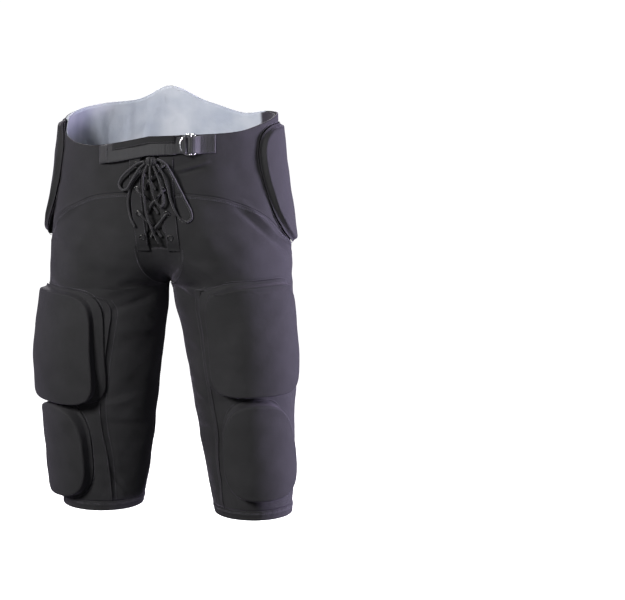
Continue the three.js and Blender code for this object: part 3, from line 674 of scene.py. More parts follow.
# The bow. Each route lists places: across, height and lift, in millimetres.
KNOT = np.array([3, -47, 10.0])
KNOT_SIZE = np.array([17, 12, 9.0])
KNOT_GAP = 0.5
BOW = {
    "lace_loop_left": [
        (-9, -47.6, 10.5), (-14.5, -50, 11), (-24, -57, 10), (-34, -65, 8.4), (-41, -73, 6.6),
        (-43.5, -80, 6), (-38.5, -86, 7.4), (-31, -84, 9.6), (-24.5, -75, 11.4), (-18, -65, 12.2),
        (-12.5, -57, 12.2), (-6.4, -50.6, 11.4)],
    "lace_loop_middle": [
        (2.6, -54.5, 11), (2.8, -62, 13), (3, -74, 13.4), (5, -88, 12.6), (8, -100, 11.4),
        (12.5, -106, 10.4), (16.5, -101, 10.4), (16.5, -90, 11.4), (14.5, -76, 12.6),
        (11, -64, 12.4), (8, -55.5, 11)],
    "lace_loop_right": [
        (12.5, -43, 11), (20, -50, 12), (28, -65, 11.6), (36, -84, 8), (43.5, -102, 4.6),
        (48, -114, 2.8), (47.5, -123.5, 2.3), (41, -127.5, 2.3), (34, -123, 3.4), (28.4, -111, 5.4),
        (24.5, -96, 7.6), (22, -80, 11), (18, -64, 12.6), (12.8, -52.5, 11.4)],
    "lace_end_left": [
        (-4.6, -53.2, 7.6), (-11, -62, 7.2), (-20, -72, 6.4), (-27.5, -84, 5.2), (-32, -98, 4.6),
        (-33, -112, 3.4), (-31, -124, 4.4), (-27, -134, 6.2)],
    "lace_end_right": [
        (-2.6, -54.6, 12), (-6.4, -64, 12), (-8.5, -78, 10.4), (-8.6, -94, 9.8), (-8, -110, 9.8),
        (-5.4, -126, 9.8), (-1.5, -141, 8.6), (3, -155, 6.4)],
}


def make_bow():
    """The free ends and loops of the lace, each a braided cord with its own length."""
    for name, route in BOW.items():
        places = np.array(route, float)
        is_loop = "loop" in name
        for row in ([0, -1] if is_loop else [0]):
            way = places[row] - KNOT
            share = 1 / np.linalg.norm(2 * way / KNOT_SIZE) + KNOT_GAP / np.linalg.norm(way)
            places[row] = KNOT + way * share
        path = spline(on_front(*(places.T / 1000)), 120 if is_loop else 90)
        shape = np.ones(len(path))
        if not is_loop:
            shape[-6:] = (0.98, 0.94, 0.94, 0.94, 0.94, 0.9)
        cord = tube(name.replace("lace", "bow"), path, LACE_WIDE / 2, lace_braid, "lace", shape=shape)
        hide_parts(name)


make_bow()


# Folds of the worn cloth: half, from turn and level, to turn and level, width and height in
# millimetres. A height below 0 is a valley.
FOLDS = [
    ("left", 0.083, 0.109, 0.173, 0.088, 3.0, 1.8), ("left", 0.09, 0.118, 0.16, 0.104, 2.6, -1.2),
    ("left", 0.74, 0.350, 0.90, 0.358, 3.6, -2.0), ("left", 0.78, 0.366, 0.93, 0.385, 4.0, 1.2),
    ("right", 0.80, 0.110, 0.68, 0.222, 3.4, -1.6), ("right", 0.83, 0.108, 0.70, 0.232, 3.6, 1.2),
    ("right", 0.45, 0.262, 0.253, 0.192, 4.5, 1.6), ("right", 0.46, 0.285, 0.30, 0.222, 4.0, 1.0),
    ("right", 0.44, 0.300, 0.34, 0.300, 6.0, -1.4), ("right", 0.24, 0.425, 0.10, 0.372, 6.0, 1.3),
    ("right", 0.23, 0.470, 0.09, 0.430, 5.0, -1.2), ("right", 0.21, 0.520, 0.06, 0.520, 7.0, 1.0),
    ("right", 0.24, 0.715, 0.10, 0.690, 6.0, 1.2), ("right", 0.22, 0.760, 0.07, 0.775, 5.0, -1.0),
    ("right", 0.208, 0.885, 0.150, 0.945, 3.5, -1.5), ("right", 0.20, 0.910, 0.120, 0.985, 3.5, 1.3),
    ("left", 0.27, 0.190, 0.383, 0.278, 4.5, 2.0), ("left", 0.383, 0.278, 0.482, 0.311, 4.5, 2.2),
    ("left", 0.25, 0.205, 0.36, 0.290, 4.0, -1.6), ("left", 0.36, 0.290, 0.45, 0.330, 4.0, -1.4),
    ("left", 0.20, 0.390, 0.08, 0.330, 6.0, 1.3), ("left", 0.17, 0.440, 0.06, 0.400, 5.0, -1.3),
    ("left", 0.17, 0.550, 0.05, 0.540, 7.0, 1.0), ("left", 0.16, 0.690, 0.06, 0.665, 6.0, 1.2),
    ("left", 0.16, 0.760, 0.05, 0.775, 5.0, -1.0), ("left", 0.150, 0.900, 0.100, 0.960, 3.5, -1.3),
    ("right", 0.97, 0.440, 0.72, 0.470, 5.5, -2.2), ("right", 0.95, 0.475, 0.70, 0.500, 5.0, 1.4),
    ("left", 0.97, 0.440, 0.70, 0.455, 5.5, -2.2), ("left", 0.95, 0.475, 0.72, 0.490, 5.0, 1.4),
    ("right", 0.94, 0.735, 0.68, 0.750, 5.0, -1.5), ("right", 0.92, 0.775, 0.66, 0.800, 5.0, 1.3),
    ("left", 0.94, 0.735, 0.68, 0.755, 5.0, -1.5), ("left", 0.92, 0.780, 0.66, 0.800, 5.0, 1.3),
    ("right", 0.68, 0.350, 0.88, 0.330, 7.0, 1.0), ("left", 0.68, 0.350, 0.88, 0.330, 7.0, 1.0),
]
# Seam down the front of each leg, inside the pads: turn and level.
FRONT_SEAM = {
    "right": [(0.262, 0.429), (0.230, 0.438), (0.216, 0.462), (0.219, 0.522), (0.235, 0.649),
              (0.244, 0.712), (0.238, 0.777), (0.220, 0.842), (0.207, 0.906), (0.193, 0.974)],
    "left": [(0.215, 0.393), (0.185, 0.400), (0.172, 0.440), (0.168, 0.527), (0.166, 0.620),
             (0.169, 0.700), (0.173, 0.761), (0.163, 0.820), (0.153, 0.867), (0.143, 0.974)],
}
WAVES = [  # direction as degrees, wavelength and height in millimetres, phase
    (20, 46, 0.28, 0.3), (75, 61, 0.30, 1.9), (118, 38, 0.22, 4.1), (160, 83, 0.34, 2.7),
    (48, 27, 0.12, 5.2), (95, 22, 0.10, 0.9)]


FOLD_RISE = 1.4


def near_segment(u, v, a, b):
    """Distance of points from a segment, and the share of the way along it."""
    way = (b[0] - a[0], b[1] - a[1])
    t = ((u - a[0]) * way[0] + (v - a[1]) * way[1]) / (way[0]**2 + way[1]**2)
    near = np.clip(t, 0, 1)
    return np.hypot(u - a[0] - near * way[0], v - a[1] - near * way[1]), near


def relief(half, turn, z):
    """Height of the cloth over its plain form: each fold is a bell across its line, fading out at
    both ends, and slow waves run over all of it."""
    girth = half_girth(z)
    u, v = turn * girth * 1000, z * 1000
    height = np.zeros_like(z)
    for name, turn_a, level_a, turn_b, level_b, width, tall in FOLDS:
        if name != half.name:
            continue
        mean = float(half_girth(-(level_a + level_b) / 2 * OUTSEAM)[0]) * 1000
        a = (turn_a * mean, -level_a * OUTSEAM * 1000)
        b = (turn_b * mean, -level_b * OUTSEAM * 1000)
        away, along = near_segment(turn * mean, v, a, b)
        bell = np.exp(-(away / width) ** 2) * np.sin(np.pi * mix(0.08, 0.92, along)) ** 0.8
        height += FOLD_RISE * tall * bell
    for degrees, length, tall, phase in WAVES:
        way = np.radians(degrees)
        wave = np.sin(2 * np.pi * (u * np.cos(way) + v * np.sin(way)) / length + phase)
        height += tall * wave
    line = np.array(FRONT_SEAM[half.name])
    seam_turn = np.interp(-v / 1000 / OUTSEAM, line[2:, 1], line[2:, 0])
    away = (turn - seam_turn) * girth * 1000
    present = smooth((-v / 1000 / OUTSEAM - line[1, 1]) / 0.03)
    height += present * (1.5 * np.exp(-(away / 3.2) ** 2) - 0.9 * np.exp(-((away + 8) / 5) ** 2))
    low = smooth((-v / 1000 / OUTSEAM - 0.93) / 0.04)
    puckers = np.sin(2 * np.pi * u / 7.3 + np.sin(u / 9))
    height += low * 0.55 * puckers * np.exp(-((turn - 0.15) / 0.12) ** 2)
    hem = smooth((-v / 1000 / OUTSEAM - 0.95) / 0.025)
    return height * (1 - 0.85 * hem) / 1000


def lifted(half, turn, z, lift):
    return raised(half, turn, z, lift + relief(half, turn, z))


def shares(count):
    return np.linspace(0, 1, count)


def cloth_uv(turn, z):
    return np.stack([turn * half_girth(z), z], axis=-1)


def declare_sheet(outer):
    """Cross products of the diagonals of each cell of a sheet, which are not kept."""
    cross = np.cross(outer[1:, 1:] - outer[:-1, :-1], outer[1:, :-1] - outer[:-1, 1:])


def leg_place(row, column):
    """Turn and height on a leg panel: row runs from the yoke seam to the hem."""
    top = yoke_height(column) - SEAM_GAP
    bottom = HEM_WIDTH + SEAM_GAP - OUTSEAM
    share = np.clip(row * 2, 0, 1)
    z = np.where(row < 0.5, mix(top, -GUSSET_DROP, share * (1.5 - 0.5 * share)),
                 mix(-GUSSET_DROP, bottom, np.clip(row * 2 - 1, 0, 1)))
    girth = half_girth(z)
    start = (front_edge(z) + SEAM_GAP / 2) / girth
    end = 1 - (back_edge(z) + SEAM_GAP / 2) / girth
    return mix(start, end, column), z


def make_leg(half):
    row, column = np.meshgrid(shares(221), shares(151), indexing="ij")
    turn, z = leg_place(row, column)
    outer = lifted(half, turn, z, 0)
    inner = lifted(half, turn, z, -CLOTH_WALL)
    piece = sheet_piece(f"leg_cloth_{half.name}", outer, inner, cloth_uv(turn, z), knit, "knit")
    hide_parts(f"leg_panel_{half.name}")
    declare_sheet(outer)


def yoke_place(half, row, column):
    waist = HALF_WAIST
    rim_turn = mix(FLY_HALF / waist, 1 - SEAT_HALF / waist, column)
    z = mix(rim_height(half, rim_turn), yoke_height(column), row)
    girth = half_girth(z)
    start = (front_edge(z) + SEAM_GAP / 2) / girth
    end = 1 - (back_edge(z) + SEAM_GAP / 2) / girth
    return mix(start, end, column), z


def make_yoke(half):
    row, column = np.meshgrid(shares(81), shares(151), indexing="ij")
    turn, z = yoke_place(half, row, column)
    outer = lifted(half, turn, z, 0)
    inner = lifted(half, turn, z, -CLOTH_WALL)
    piece = sheet_piece(f"hip_cloth_{half.name}", outer, inner, cloth_uv(turn, z), knit, "knit")
    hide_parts(f"hip_yoke_{half.name}")
    declare_sheet(outer)


def gusset_place(is_back, z, across):
    """The seat panel: a shallow bow between its middle line and the seams beside it."""
    level = np.maximum(z, -CROTCH_DROP)
    turn_middle = np.where(is_back, 1.0, 0.0)
    middle = (cloth_point(LEFT, turn_middle, level) + cloth_point(RIGHT, turn_middle, level)) / 2
    edge = np.where(is_back, back_edge(z), front_edge(z))
    share = (edge - SEAM_GAP / 2) / half_girth(z)
    turn = np.where(is_back, 1 - share, share)
    seam = np.where((across < 0)[..., None], cloth_point(RIGHT, turn, z), cloth_point(LEFT, turn, z))
    width = np.abs(across)[..., None]
    return np.concatenate([mix(middle[..., :1], seam[..., :1], width),
                           mix(middle[..., 1:], seam[..., 1:], width**2)], axis=-1)


def grid_normals(grid):
    across = np.gradient(grid, axis=1)
    down = np.gradient(grid, axis=0)
    return unit(np.cross(across, down))


def seat_grid(rows_yoke, rows_back, rows_front, columns):
    """Rows run from the rim down the back, under the crotch and up to the base of the fly."""
    across = np.linspace(-1, 1, columns)[None, :]
    turn = 1 - np.abs(across) * SEAT_HALF / HALF_WAIST
    rim = np.where(across < 0, rim_height(RIGHT, turn), rim_height(LEFT, turn))
    low = yoke_height(1.0)
    yoke = mix(rim, low, np.linspace(0, 1, rows_yoke, endpoint=False)[:, None])
    share = np.linspace(0, 1, rows_back, endpoint=False)[:, None]
    back = mix(low - SEAM_GAP, -GUSSET_DROP, share * (1.5 - 0.5 * share)) + 0 * across
    top = yoke_height(0.0) - SEAM_GAP
    share = np.linspace(1, 0, rows_front)[:, None]
    front = mix(top, -GUSSET_DROP, share * (1.5 - 0.5 * share))
    front = front[front[:, 0] < -FLY_BASE] + 0 * across
    z = np.vstack([yoke, back, front])
    is_back = np.zeros_like(z, bool)
    is_back[:len(yoke) + len(back)] = True
    return gusset_place(is_back, z, across + 0 * z), z


def make_seat():
    """The bowed panel, with cosine folds across it under the crotch that fade out from their middle."""
    outer, _ = seat_grid(60, 110, 120, 61)
    normal = grid_normals(outer)
    facing = np.sign((normal[20] * np.array([0, 1, 0])).sum())
    normal = normal * facing
    wide = np.linspace(-1, 1, outer.shape[1])[None, :]
    run = run_along(outer[:, 30])
    under = np.exp(-((run[:, None] - 0.285) / 0.05) ** 2)
    cross_folds = under * np.cos(run[:, None] * 2 * np.pi / 0.023)
    calm = np.clip(1 - wide**2, 0, 1)
    height = 0.0011 * cross_folds * calm + 0.0005 * np.sin(run[:, None] * 95 + wide * 2) * calm
    outer = outer + normal * height[..., None]
    uv = np.stack(np.broadcast_arrays(wide * SEAT_HALF, run[:, None]), axis=-1)
    piece = sheet_piece("seat_cloth", outer, outer - normal * CLOTH_WALL, uv, knit, "knit")
    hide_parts("seat_panel")
    declare_sheet(outer)


# Soft folds of the lining: share of the way round from the right of the fly, width in
# millimetres, lean as a share of the depth, height in millimetres.
LINING_FOLDS = [
    (0.22, 9, 0.02, -1.3), (0.28, 6, -0.02, 0.8), (0.345, 10, 0.03, -1.4), (0.41, 7, 0, 0.9),
    (0.46, 12, -0.03, -1.0), (0.54, 8, 0.02, 0.9), (0.60, 10, -0.02, -1.5), (0.66, 7, 0.01, 0.8),
    (0.71, 9, 0.02, -1.2)]
LINING_SEAMS = (0.435, 0.572)    # share of the way round


LINING_DARK_FROM = 0.685


def make_lining():
    """The hips' own surface pushed in, with a bell across each fold and two ridges at each seam."""
    share_all = shares(301)
    row = shares(49)[:, None]
    start = LINING_FROM / HALF_WAIST
    grids = []
    for half, share in ((RIGHT, share_all[:151] * 2), (LEFT, (1 - share_all[151:]) * 2)):
        turn = mix(start, 1, share)[None, :] + 0 * row
        z = mix(rim_height(half, turn) - 0.0015, -LINING_DEPTH, row)
        girth = HALF_WAIST
        around = np.where(half.side < 0, share / 2, 1 - share / 2)[None, :] + 0 * row
        lift = np.zeros_like(z)
        for at, width, lean, tall in LINING_FOLDS:
            away = (around - at - lean * (row - 0.3)) * 2 * girth * 1000
            lift += tall * np.exp(-(away / width) ** 2) * np.sin(np.pi * np.clip(row * 0.9 + 0.1, 0, 1))
        for at in LINING_SEAMS:
            for side in (-2.6, 2.6):
                away = (around - at) * 2 * girth * 1000 - side
                lift += 0.55 * np.exp(-(away / 1.1) ** 2)
        grids.append((half, turn, z, np.minimum(lift, 0.8) / 1000, around))
    depth = CLOTH_WALL + LINING_GAP
    outer, inner, uv = [], [], []
    for half, turn, z, lift, around in grids:
        push = -depth - np.maximum(-lift, 0)
        outer.append(raised(half, turn, z, push))
        inner.append(raised(half, turn, z, push - LINING_WALL - np.maximum(lift, 0)))
        uv.append(np.stack([around * 2 * HALF_WAIST, z], axis=-1))
    outer, inner, uv = (np.concatenate(part, axis=1) for part in (outer, inner, uv))
    piece = sheet_piece("lining_cloth", outer, inner, uv, lining, "lining")
    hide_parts("waist_lining")
    around = np.concatenate([g[4] for g in grids], axis=1)
    dark = np.tile(smooth((around - LINING_DARK_FROM) / 0.01).ravel(), 2)
    layer = piece.data.attributes.new("dark_part", "FLOAT", "POINT")
    layer.data.foreach_set("value", dark.astype(np.float32))
    declare_sheet(outer)


# The binding runs over the rim from the first turn on the right half to the last on the left.
BINDING_FROM, BINDING_TO, BINDING_STEPS = 0.50, 0.63, 90
BINDING_INSET, BINDING_DROP, BINDING_RISE = 0.0003, 0.0012, 0.0016


def make_binding():
    """The lining is turned out over the rim from the wearer's right side round the back: a flat
    oval section over the cut edges of the cloth and the lining."""
    angle = circle(20)[None, :]
    out, up = signed_power(np.cos(angle), 0.8), signed_power(np.sin(angle), 0.6)
    middle = -(CLOTH_WALL + LINING_GAP + LINING_WALL) / 2
    stations = []
    for half, turn in ((RIGHT, np.linspace(BINDING_FROM, 1.0, BINDING_STEPS)[:-1]),
                       (LEFT, np.linspace(1.0, BINDING_TO, BINDING_STEPS))):
        z = rim_height(half, turn)[:, None] - BINDING_DROP + BINDING_RISE * up
        lift = middle - (middle + BINDING_INSET) * out
        stations.append(raised(half, turn[:, None], z, lift))
    rings = np.concatenate(stations)
    along = np.arange(len(rings))[:, None] * 0.003
    uv = np.stack(np.broadcast_arrays(along, np.linspace(0, 0.009, 20)), axis=-1)
    ring_body("rim_binding", rings, uv, lining, "lining")


def make_hem(half):
    """A folded band: a rounded flat profile swept round the end of the leg, with soft puckers."""
    corner = np.linspace(0, 2 * np.pi, 25)[:-1]
    up = 0.5 + 0.5 * signed_power(np.sin(corner), 0.35)
    lift = signed_power(np.cos(corner), 0.45)
    turn = np.linspace(0, 1, 240, endpoint=False)[:, None]
    pucker = np.sin(turn * 2 * np.pi * 41) * 0.00022 + np.sin(turn * 2 * np.pi * 17 + 1) * 0.0003
    low, high = -CLOTH_WALL - HEM_WALL / 2, HEM_WALL / 2
    ditch = 0.0003 * np.exp(-((up - 0.72) / 0.07) ** 2) * (lift > 0)
    out = mix(low, high, lift * 0.5 + 0.5)[None, :] + pucker * (up[None, :] ** 1.5) - ditch[None, :]
    z = up[None, :] * HEM_WIDTH - OUTSEAM + 0 * turn
    rings = raised(half, turn + 0 * z, z, out)
    uv = np.stack(np.broadcast_arrays(turn * half_girth(-OUTSEAM)[0], z), axis=-1)
    piece = ring_body(f"hem_fold_{half.name}", rings, uv, hem_knit, "knit", closed=True)
    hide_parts(f"leg_hem_{half.name}")


for half in HALVES:
    make_leg(half)
    make_yoke(half)
    make_hem(half)
make_seat()
make_lining()
make_binding()


# Pads: block and skirt as in the solids, in millimetres.
PADS = {
    "hip_pad": dict(wide=104, tall=156, lay=1.7, front=5, back=5, up=4, down=3, taper=0.15,
                    square=3.4, tip=0.4, round=2.4, wall=2.0, crown=0.8, fill=0.5),
    "thigh_pad": dict(wide=116, tall=150, lay=2.5, front=15, back=6, up=5, down=4, taper=0.02,
                      square=5, tip=0, round=2.2, wall=2.2, crown=0.6, fill=0.9),
    "knee_pad": dict(wide=90, tall=134, lay=1.6, front=6, back=5, up=4, down=4, taper=-0.04,
                     square=2.8, tip=0, round=2.6, wall=2.2, crown=0.8, fill=0.85),
    "tail_pad": dict(wide=86, tall=196, lay=2.5, front=4, back=4, up=2, down=4, taper=0,
                     square=3.2, tip=0, bottom=181, thick=8, lean=0, round=2.8, wall=1.6, crown=0.5,
                     fill=0.6),
}
# Where the pads sit as worn, how thick they are, and how much thicker at the lower edge.
PAD_PLACES = {
    "left": {"hip_pad": dict(turn=0.495, level=0.156, thick=7, lean=0),
             "thigh_pad": dict(turn=0.307, level=0.532, thick=16, lean=2),
             "knee_pad": dict(turn=0.305, level=0.815, thick=16, lean=4)},
    "right": {"hip_pad": dict(turn=0.545, level=0.156, thick=7, lean=0),
              "thigh_pad": dict(turn=0.372, level=0.562, thick=10, lean=13),
              "knee_pad": dict(turn=0.39, level=0.838, thick=18, lean=0)},
}
PAD_EDGE = 1.0
PAD_SIDES, WALL_ROWS, SKIRT_ROWS, UNDER_ROWS = 176, 5, 10, 8
SKIRT_RISE = 0.2     # height left at the foot of the wall, as a share of the block


def pad_outline(pad, angle):
    """A rounded square, tapered, and narrowed to its tip: across, up, and both as signed shares."""
    power = 2 / pad["square"]
    across = signed_power(np.cos(angle), power)
    up = signed_power(np.sin(angle), power)
    width = 1 + pad["taper"] * up - pad["tip"] * np.maximum(-up, 0) ** 3
    return across * width * pad["wide"] / 2, up * pad["tall"] / 2, across, up


def even_angles(pad, sides):
    fine = np.linspace(0, 2 * np.pi, 4001)
    x, y, _, _ = pad_outline(pad, fine)
    run = np.concatenate([[0], np.cumsum(np.hypot(np.diff(x), np.diff(y)))])
    return np.interp(np.linspace(0, run[-1], sides, endpoint=False), run, fine)


def pad_rings(pad, place, seed):
    """A nearly flat block with a small round along its edge, a steep wall, and a low skirt of cloth
    out to the seam: the height falls as a quarter circle, a drop and then a hollow slope."""
    angle = even_angles(pad, PAD_SIDES)
    across, up, side_share, up_share = pad_outline(pad, angle)
    reach = min(pad["wide"], pad["tall"]) / 2
    shoulder = pad["round"] / reach
    rings = np.concatenate([np.linspace(0.02, 1 - shoulder, 26), 1 - shoulder * np.cos(
        np.linspace(0, np.pi / 2, 7)[1:])])
    inward = np.clip((rings - (1 - shoulder)) / shoulder, 0, 1)
    rounded = -pad["round"] * (1 - np.sqrt(1 - inward**2)) + pad["crown"] * (1 - rings**2)
    skirt = np.concatenate([shares(WALL_ROWS + 1)[1:], shares(SKIRT_ROWS + 1)[1:]])
    in_wall = np.arange(len(skirt)) < WALL_ROWS
    full = np.concatenate([np.ones(len(rings)), 1 - (1 - SKIRT_RISE) * skirt[:WALL_ROWS] ** 0.8,
                           SKIRT_RISE * (1 - skirt[WALL_ROWS:]) ** 1.5, [0], np.zeros(UNDER_ROWS)])
    extra = np.concatenate([rounded, -pad["round"] * (1 - skirt[:WALL_ROWS]),
                            PAD_EDGE * skirt[WALL_ROWS:], [0],
                            np.zeros(UNDER_ROWS)])
    share = np.concatenate([rings, np.ones(len(skirt) + 1), np.linspace(0.97, 0.02, UNDER_ROWS)])
    wall_out = np.concatenate([0 * rings, np.where(in_wall, skirt * pad["wall"], pad["wall"]),
                               [pad["wall"]], np.zeros(UNDER_ROWS)])
    skirt_out = np.concatenate([0 * rings, np.where(in_wall, 0, skirt), [1], np.zeros(UNDER_ROWS)])
    skirt_across = np.where(side_share < 0, pad["front"], pad["back"]) - pad["wall"]
    skirt_up = np.where(up_share < 0, pad["down"], pad["up"]) - pad["wall"]
    out_a = wall_out[:, None] + skirt_out[:, None] * skirt_across
    out_b = wall_out[:, None] + skirt_out[:, None] * skirt_up
    a = across * share[:, None] + side_share * out_a
    b = up * share[:, None] + up_share * out_b
    thick = pad["thick"] + pad["lean"] * (0.5 - up * share[:, None] / pad["tall"])
    height = full[:, None] * thick + extra[:, None]
    on_top = (np.arange(len(share)) < len(rings) + len(skirt))[:, None]
    wave = (np.sin(a * 0.11 + b * 0.05 + seed) * np.sin(b * 0.083 - a * 0.03 + 2 * seed)
            + 0.5 * np.sin(a * 0.19 - b * 0.14 + 3 * seed))
    outside = wall_out[:, None] / pad["wall"]
    pull = np.sin(angle * 37 + seed)[None, :] * skirt_out[:, None] * (1 - skirt_out[:, None]) * 2
    lift = height + on_top * (0.26 * wave * (1 - outside) + 0.2 * pull)
    points = place(a / 1000, b / 1000, (pad["lay"] + lift) / 1000)
    uv = np.stack([a, b], axis=-1) / 1000
    return points, uv


def limb_place(name, half):
    pad = {**PADS[name], **PAD_PLACES[half.name][name]}

    def place(across, up, lift):
        across, up, lift = np.broadcast_arrays(across, up, lift)
        z = up - pad["level"] * OUTSEAM
        flare = half.flare * smooth(-1.4 * up * 1000 / pad["tall"]) if pad["tip"] > 0 else 0
        turn = pad["turn"] + across / half_girth(z)
        return raised(half, turn, z, lift + flare + 0.35 * relief(half, turn, z))

    return place


def seat_place(across, up, lift):
    pad = PADS["tail_pad"]
    across, up, lift = np.broadcast_arrays(across, up, lift)
    z = up + (pad["tall"] / 2 - pad["bottom"]) / 1000

    def at(a, level):
        return gusset_place(np.ones_like(level, bool), level, a / SEAT_HALF)

    along = at(across + 0.001, z) - at(across - 0.001, z)
    rise = at(across, z + 0.001) - at(across, z - 0.001)
    return at(across, z) + unit(np.cross(rise, along)) * lift[..., None]


def make_pad(name, half):
    pad = PADS[name] if half is None else {**PADS[name], **PAD_PLACES[half.name][name]}
    place = seat_place if half is None else limb_place(name, half)
    node = name if half is None else f"{name}_{half.name}"
    seed = 1.7 + len(name) * 0.9 + (0 if half is None else half.side)
    points, uv = pad_rings(pad, place, seed)
    piece = ring_body(f"{node}_cover", points, uv, pad_knit, "pad_cloth")
    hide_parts(node)


for half in HALVES:
    for name in ("hip_pad", "thigh_pad", "knee_pad"):
        make_pad(name, half)
make_pad("tail_pad", None)


# Stitches and seams
def stitch_piece(name, paths, pitch=0.0032, long=0.0023, radius=0.0004):
    """Small round-ended stitches along paths: each path holds places and their outward ways."""
    sides, profile = 5, np.array([(-0.5, 0.2), (-0.4, 0.9), (0.4, 0.9), (0.5, 0.2)])
    around = circle(sides)
    points, faces, flat = [], [], []
    count = 0
    for path, ways in paths:
        run = run_along(path)
        at = np.arange(pitch / 2, run[-1], pitch)
        centre = np.stack([np.interp(at, run, path[:, k]) for k in range(3)], axis=-1)
        way = unit(np.stack([np.interp(at, run, ways[:, k]) for k in range(3)], axis=-1))
        along = unit(np.stack([np.interp(at + 0.0004, run, path[:, k]) for k in range(3)], axis=-1)
                     - np.stack([np.interp(at - 0.0004, run, path[:, k]) for k in range(3)], axis=-1))
        side = np.cross(along, way)
        reach = (profile[:, 0] * long)[None, :, None, None]
        body = (centre[:, None, None] + along[:, None, None] * reach
                + side[:, None, None] * (profile[:, 1, None] * radius * np.cos(around))[None, ..., None]
                + way[:, None, None] * (profile[:, 1, None] * radius * np.sin(around))[None, ..., None])
        number = len(at)
        each = len(profile) * sides
        base = (np.arange(number) * each + count)[:, None, None]
        faces.append((base + grid_faces(len(profile), sides, wrap_columns=True)).reshape(-1, 4))
        cap = np.array([[0, 1, 2, 3], [0, 3, 4, -1]])
        for first in (0, (len(profile) - 1) * sides):
            ends = np.where(cap < 0, -1, cap + first)
            moved = np.where(ends[None] < 0, -1, ends[None] + base)
            faces.append(moved.reshape(-1, 4))
        points.append(body.reshape(-1, 3))
        flat.append(np.zeros((number * each, 2)))
        count += number * each
    piece = piece_from(name, np.vstack(points), np.vstack(faces), np.vstack(flat), thread, "knit")
    return piece


def line_on(half, knots, lift, count=260, base=relief):
    """A line over the cloth through rows of turn and level."""
    knots = np.asarray(knots, float)
    line = spline(np.column_stack([knots, np.zeros(len(knots))]), count)
    turn, z = line[:, 0], -line[:, 1] * OUTSEAM
    height = base(half, turn, z) if base is not None else 0
    return raised(half, turn, z, lift + height), outward(half, turn, z)


def edge_line(half, back, top, low, aside, lift, count=240):
    """Along a cut edge of a panel, a little to one side of it."""
    z = np.linspace(top, low, count)
    girth = half_girth(z)
    edge = back_edge(z) if back else front_edge(z)
    turn = (edge + aside) / girth
    turn = 1 - turn if back else turn
    return raised(half, turn, z, lift + relief(half, turn, z)), outward(half, turn, z)


def pad_line(name, half, outside, lift):
    """Round a pad, on the cloth just outside its seam."""
    pad = PADS[name] if half is None else {**PADS[name], **PAD_PLACES[half.name][name]}
    angle = np.append(even_angles(pad, 240), [0.0])
    across, up, side_share, up_share = pad_outline(pad, angle)
    a = across + side_share * (np.where(side_share < 0, pad["front"], pad["back"]) + outside)
    b = up + up_share * (np.where(up_share < 0, pad["down"], pad["up"]) + outside)
    place = seat_place if half is None else limb_place(name, half)
    low = place(a / 1000, b / 1000, lift + 0 * a)
    return low, unit(place(a / 1000, b / 1000, lift + 0.001 + 0 * a) - low)


def make_seams():
    for half in HALVES:
        paths = []
        column = np.linspace(0.02, 0.97, 400)
        for aside in (-0.0035, -0.0050):
            turn, z = leg_place(np.zeros_like(column), column)
            z = z + aside
            paths.append((raised(half, turn, z, 0.0001 + relief(half, turn, z)), outward(half, turn, z)))
        paths.append(line_on(half, FRONT_SEAM[half.name], 0.0002, 300))
        inner = [(t - 0.018, level) for t, level in FRONT_SEAM[half.name][1:]]
        paths.append(line_on(half, inner, 0.0001, 300))
        paths.append(edge_line(half, False, -FLY_BASE, -GUSSET_DROP + 0.004, 0.003, 0.0001))
        paths.append(edge_line(half, True, rim_height(half, 0.88) - 0.004, -GUSSET_DROP + 0.004, 0.003,
                               0.0001))
        for name in ("hip_pad", "thigh_pad", "knee_pad"):
            paths.append(pad_line(name, half, 1.6, 0.0003))
        for turn in (0.008, 0.992):
            paths.append(line_on(half, [(turn, 0.47), (turn, 0.7), (turn, 0.965)], 0.0001, 300))
        stitch_piece(f"panel_stitches_{half.name}", paths)
        turn = np.linspace(0.0, 1.0, 400)
        rows = []
        for up in (0.0095, 0.0112):
            z = up - OUTSEAM + 0 * turn
            rows.append((raised(half, turn, z, HEM_WALL / 2 + 0.0001), outward(half, turn, z)))
        stitch_piece(f"hem_stitches_{half.name}", rows, pitch=0.0028, long=0.002)
    tail = [pad_line("tail_pad", None, 1.5, 0.0002)]
    stitch_piece("tail_pad_stitches", tail)


def make_welt(name, path, ways, radius=0.0009):
    run = path + ways * radius * 0.2
    tube(name, run, radius, knit, "knit", sides=8, facing=ways)


make_seams()
for half in HALVES:
    seam = np.array(FRONT_SEAM[half.name])
    path, ways = line_on(half, seam, 0.0004, 200)
    make_welt(f"front_seam_{half.name}", path, ways)


# Fly and belt
def rim_on_front(across):
    turn = np.abs(across) / HALF_WAIST
    return np.where(across < 0, rim_height(RIGHT, turn), rim_height(LEFT, turn))


def band_arrays(across, low, high, lift, wall, tilt=0.0, sides=20):
    """Flat woven band along the front: a rounded flat profile at each station, with its lower edge
    standing off by the tilt."""
    angle = circle(sides)[None, :]
    up = 0.5 + 0.5 * signed_power(np.sin(angle), 0.25)
    out = 0.5 + 0.5 * signed_power(np.cos(angle), 0.6)
    z = mix(low[:, None], high[:, None], up)
    rings = on_front(across[:, None] + 0 * z, z, lift[:, None] + wall * out + tilt * (1 - up))
    uv = np.stack(np.broadcast_arrays(up * STRAP_WIDTH, across[:, None]), axis=-1)
    return ring_arrays(rings, uv)


def front_line(across, z, lift):
    """A line over the front, and its outward ways."""
    path = on_front(across, z, lift + 0 * z)
    return path, unit(on_front(across, z, lift + 0.01 + 0 * z) - path)


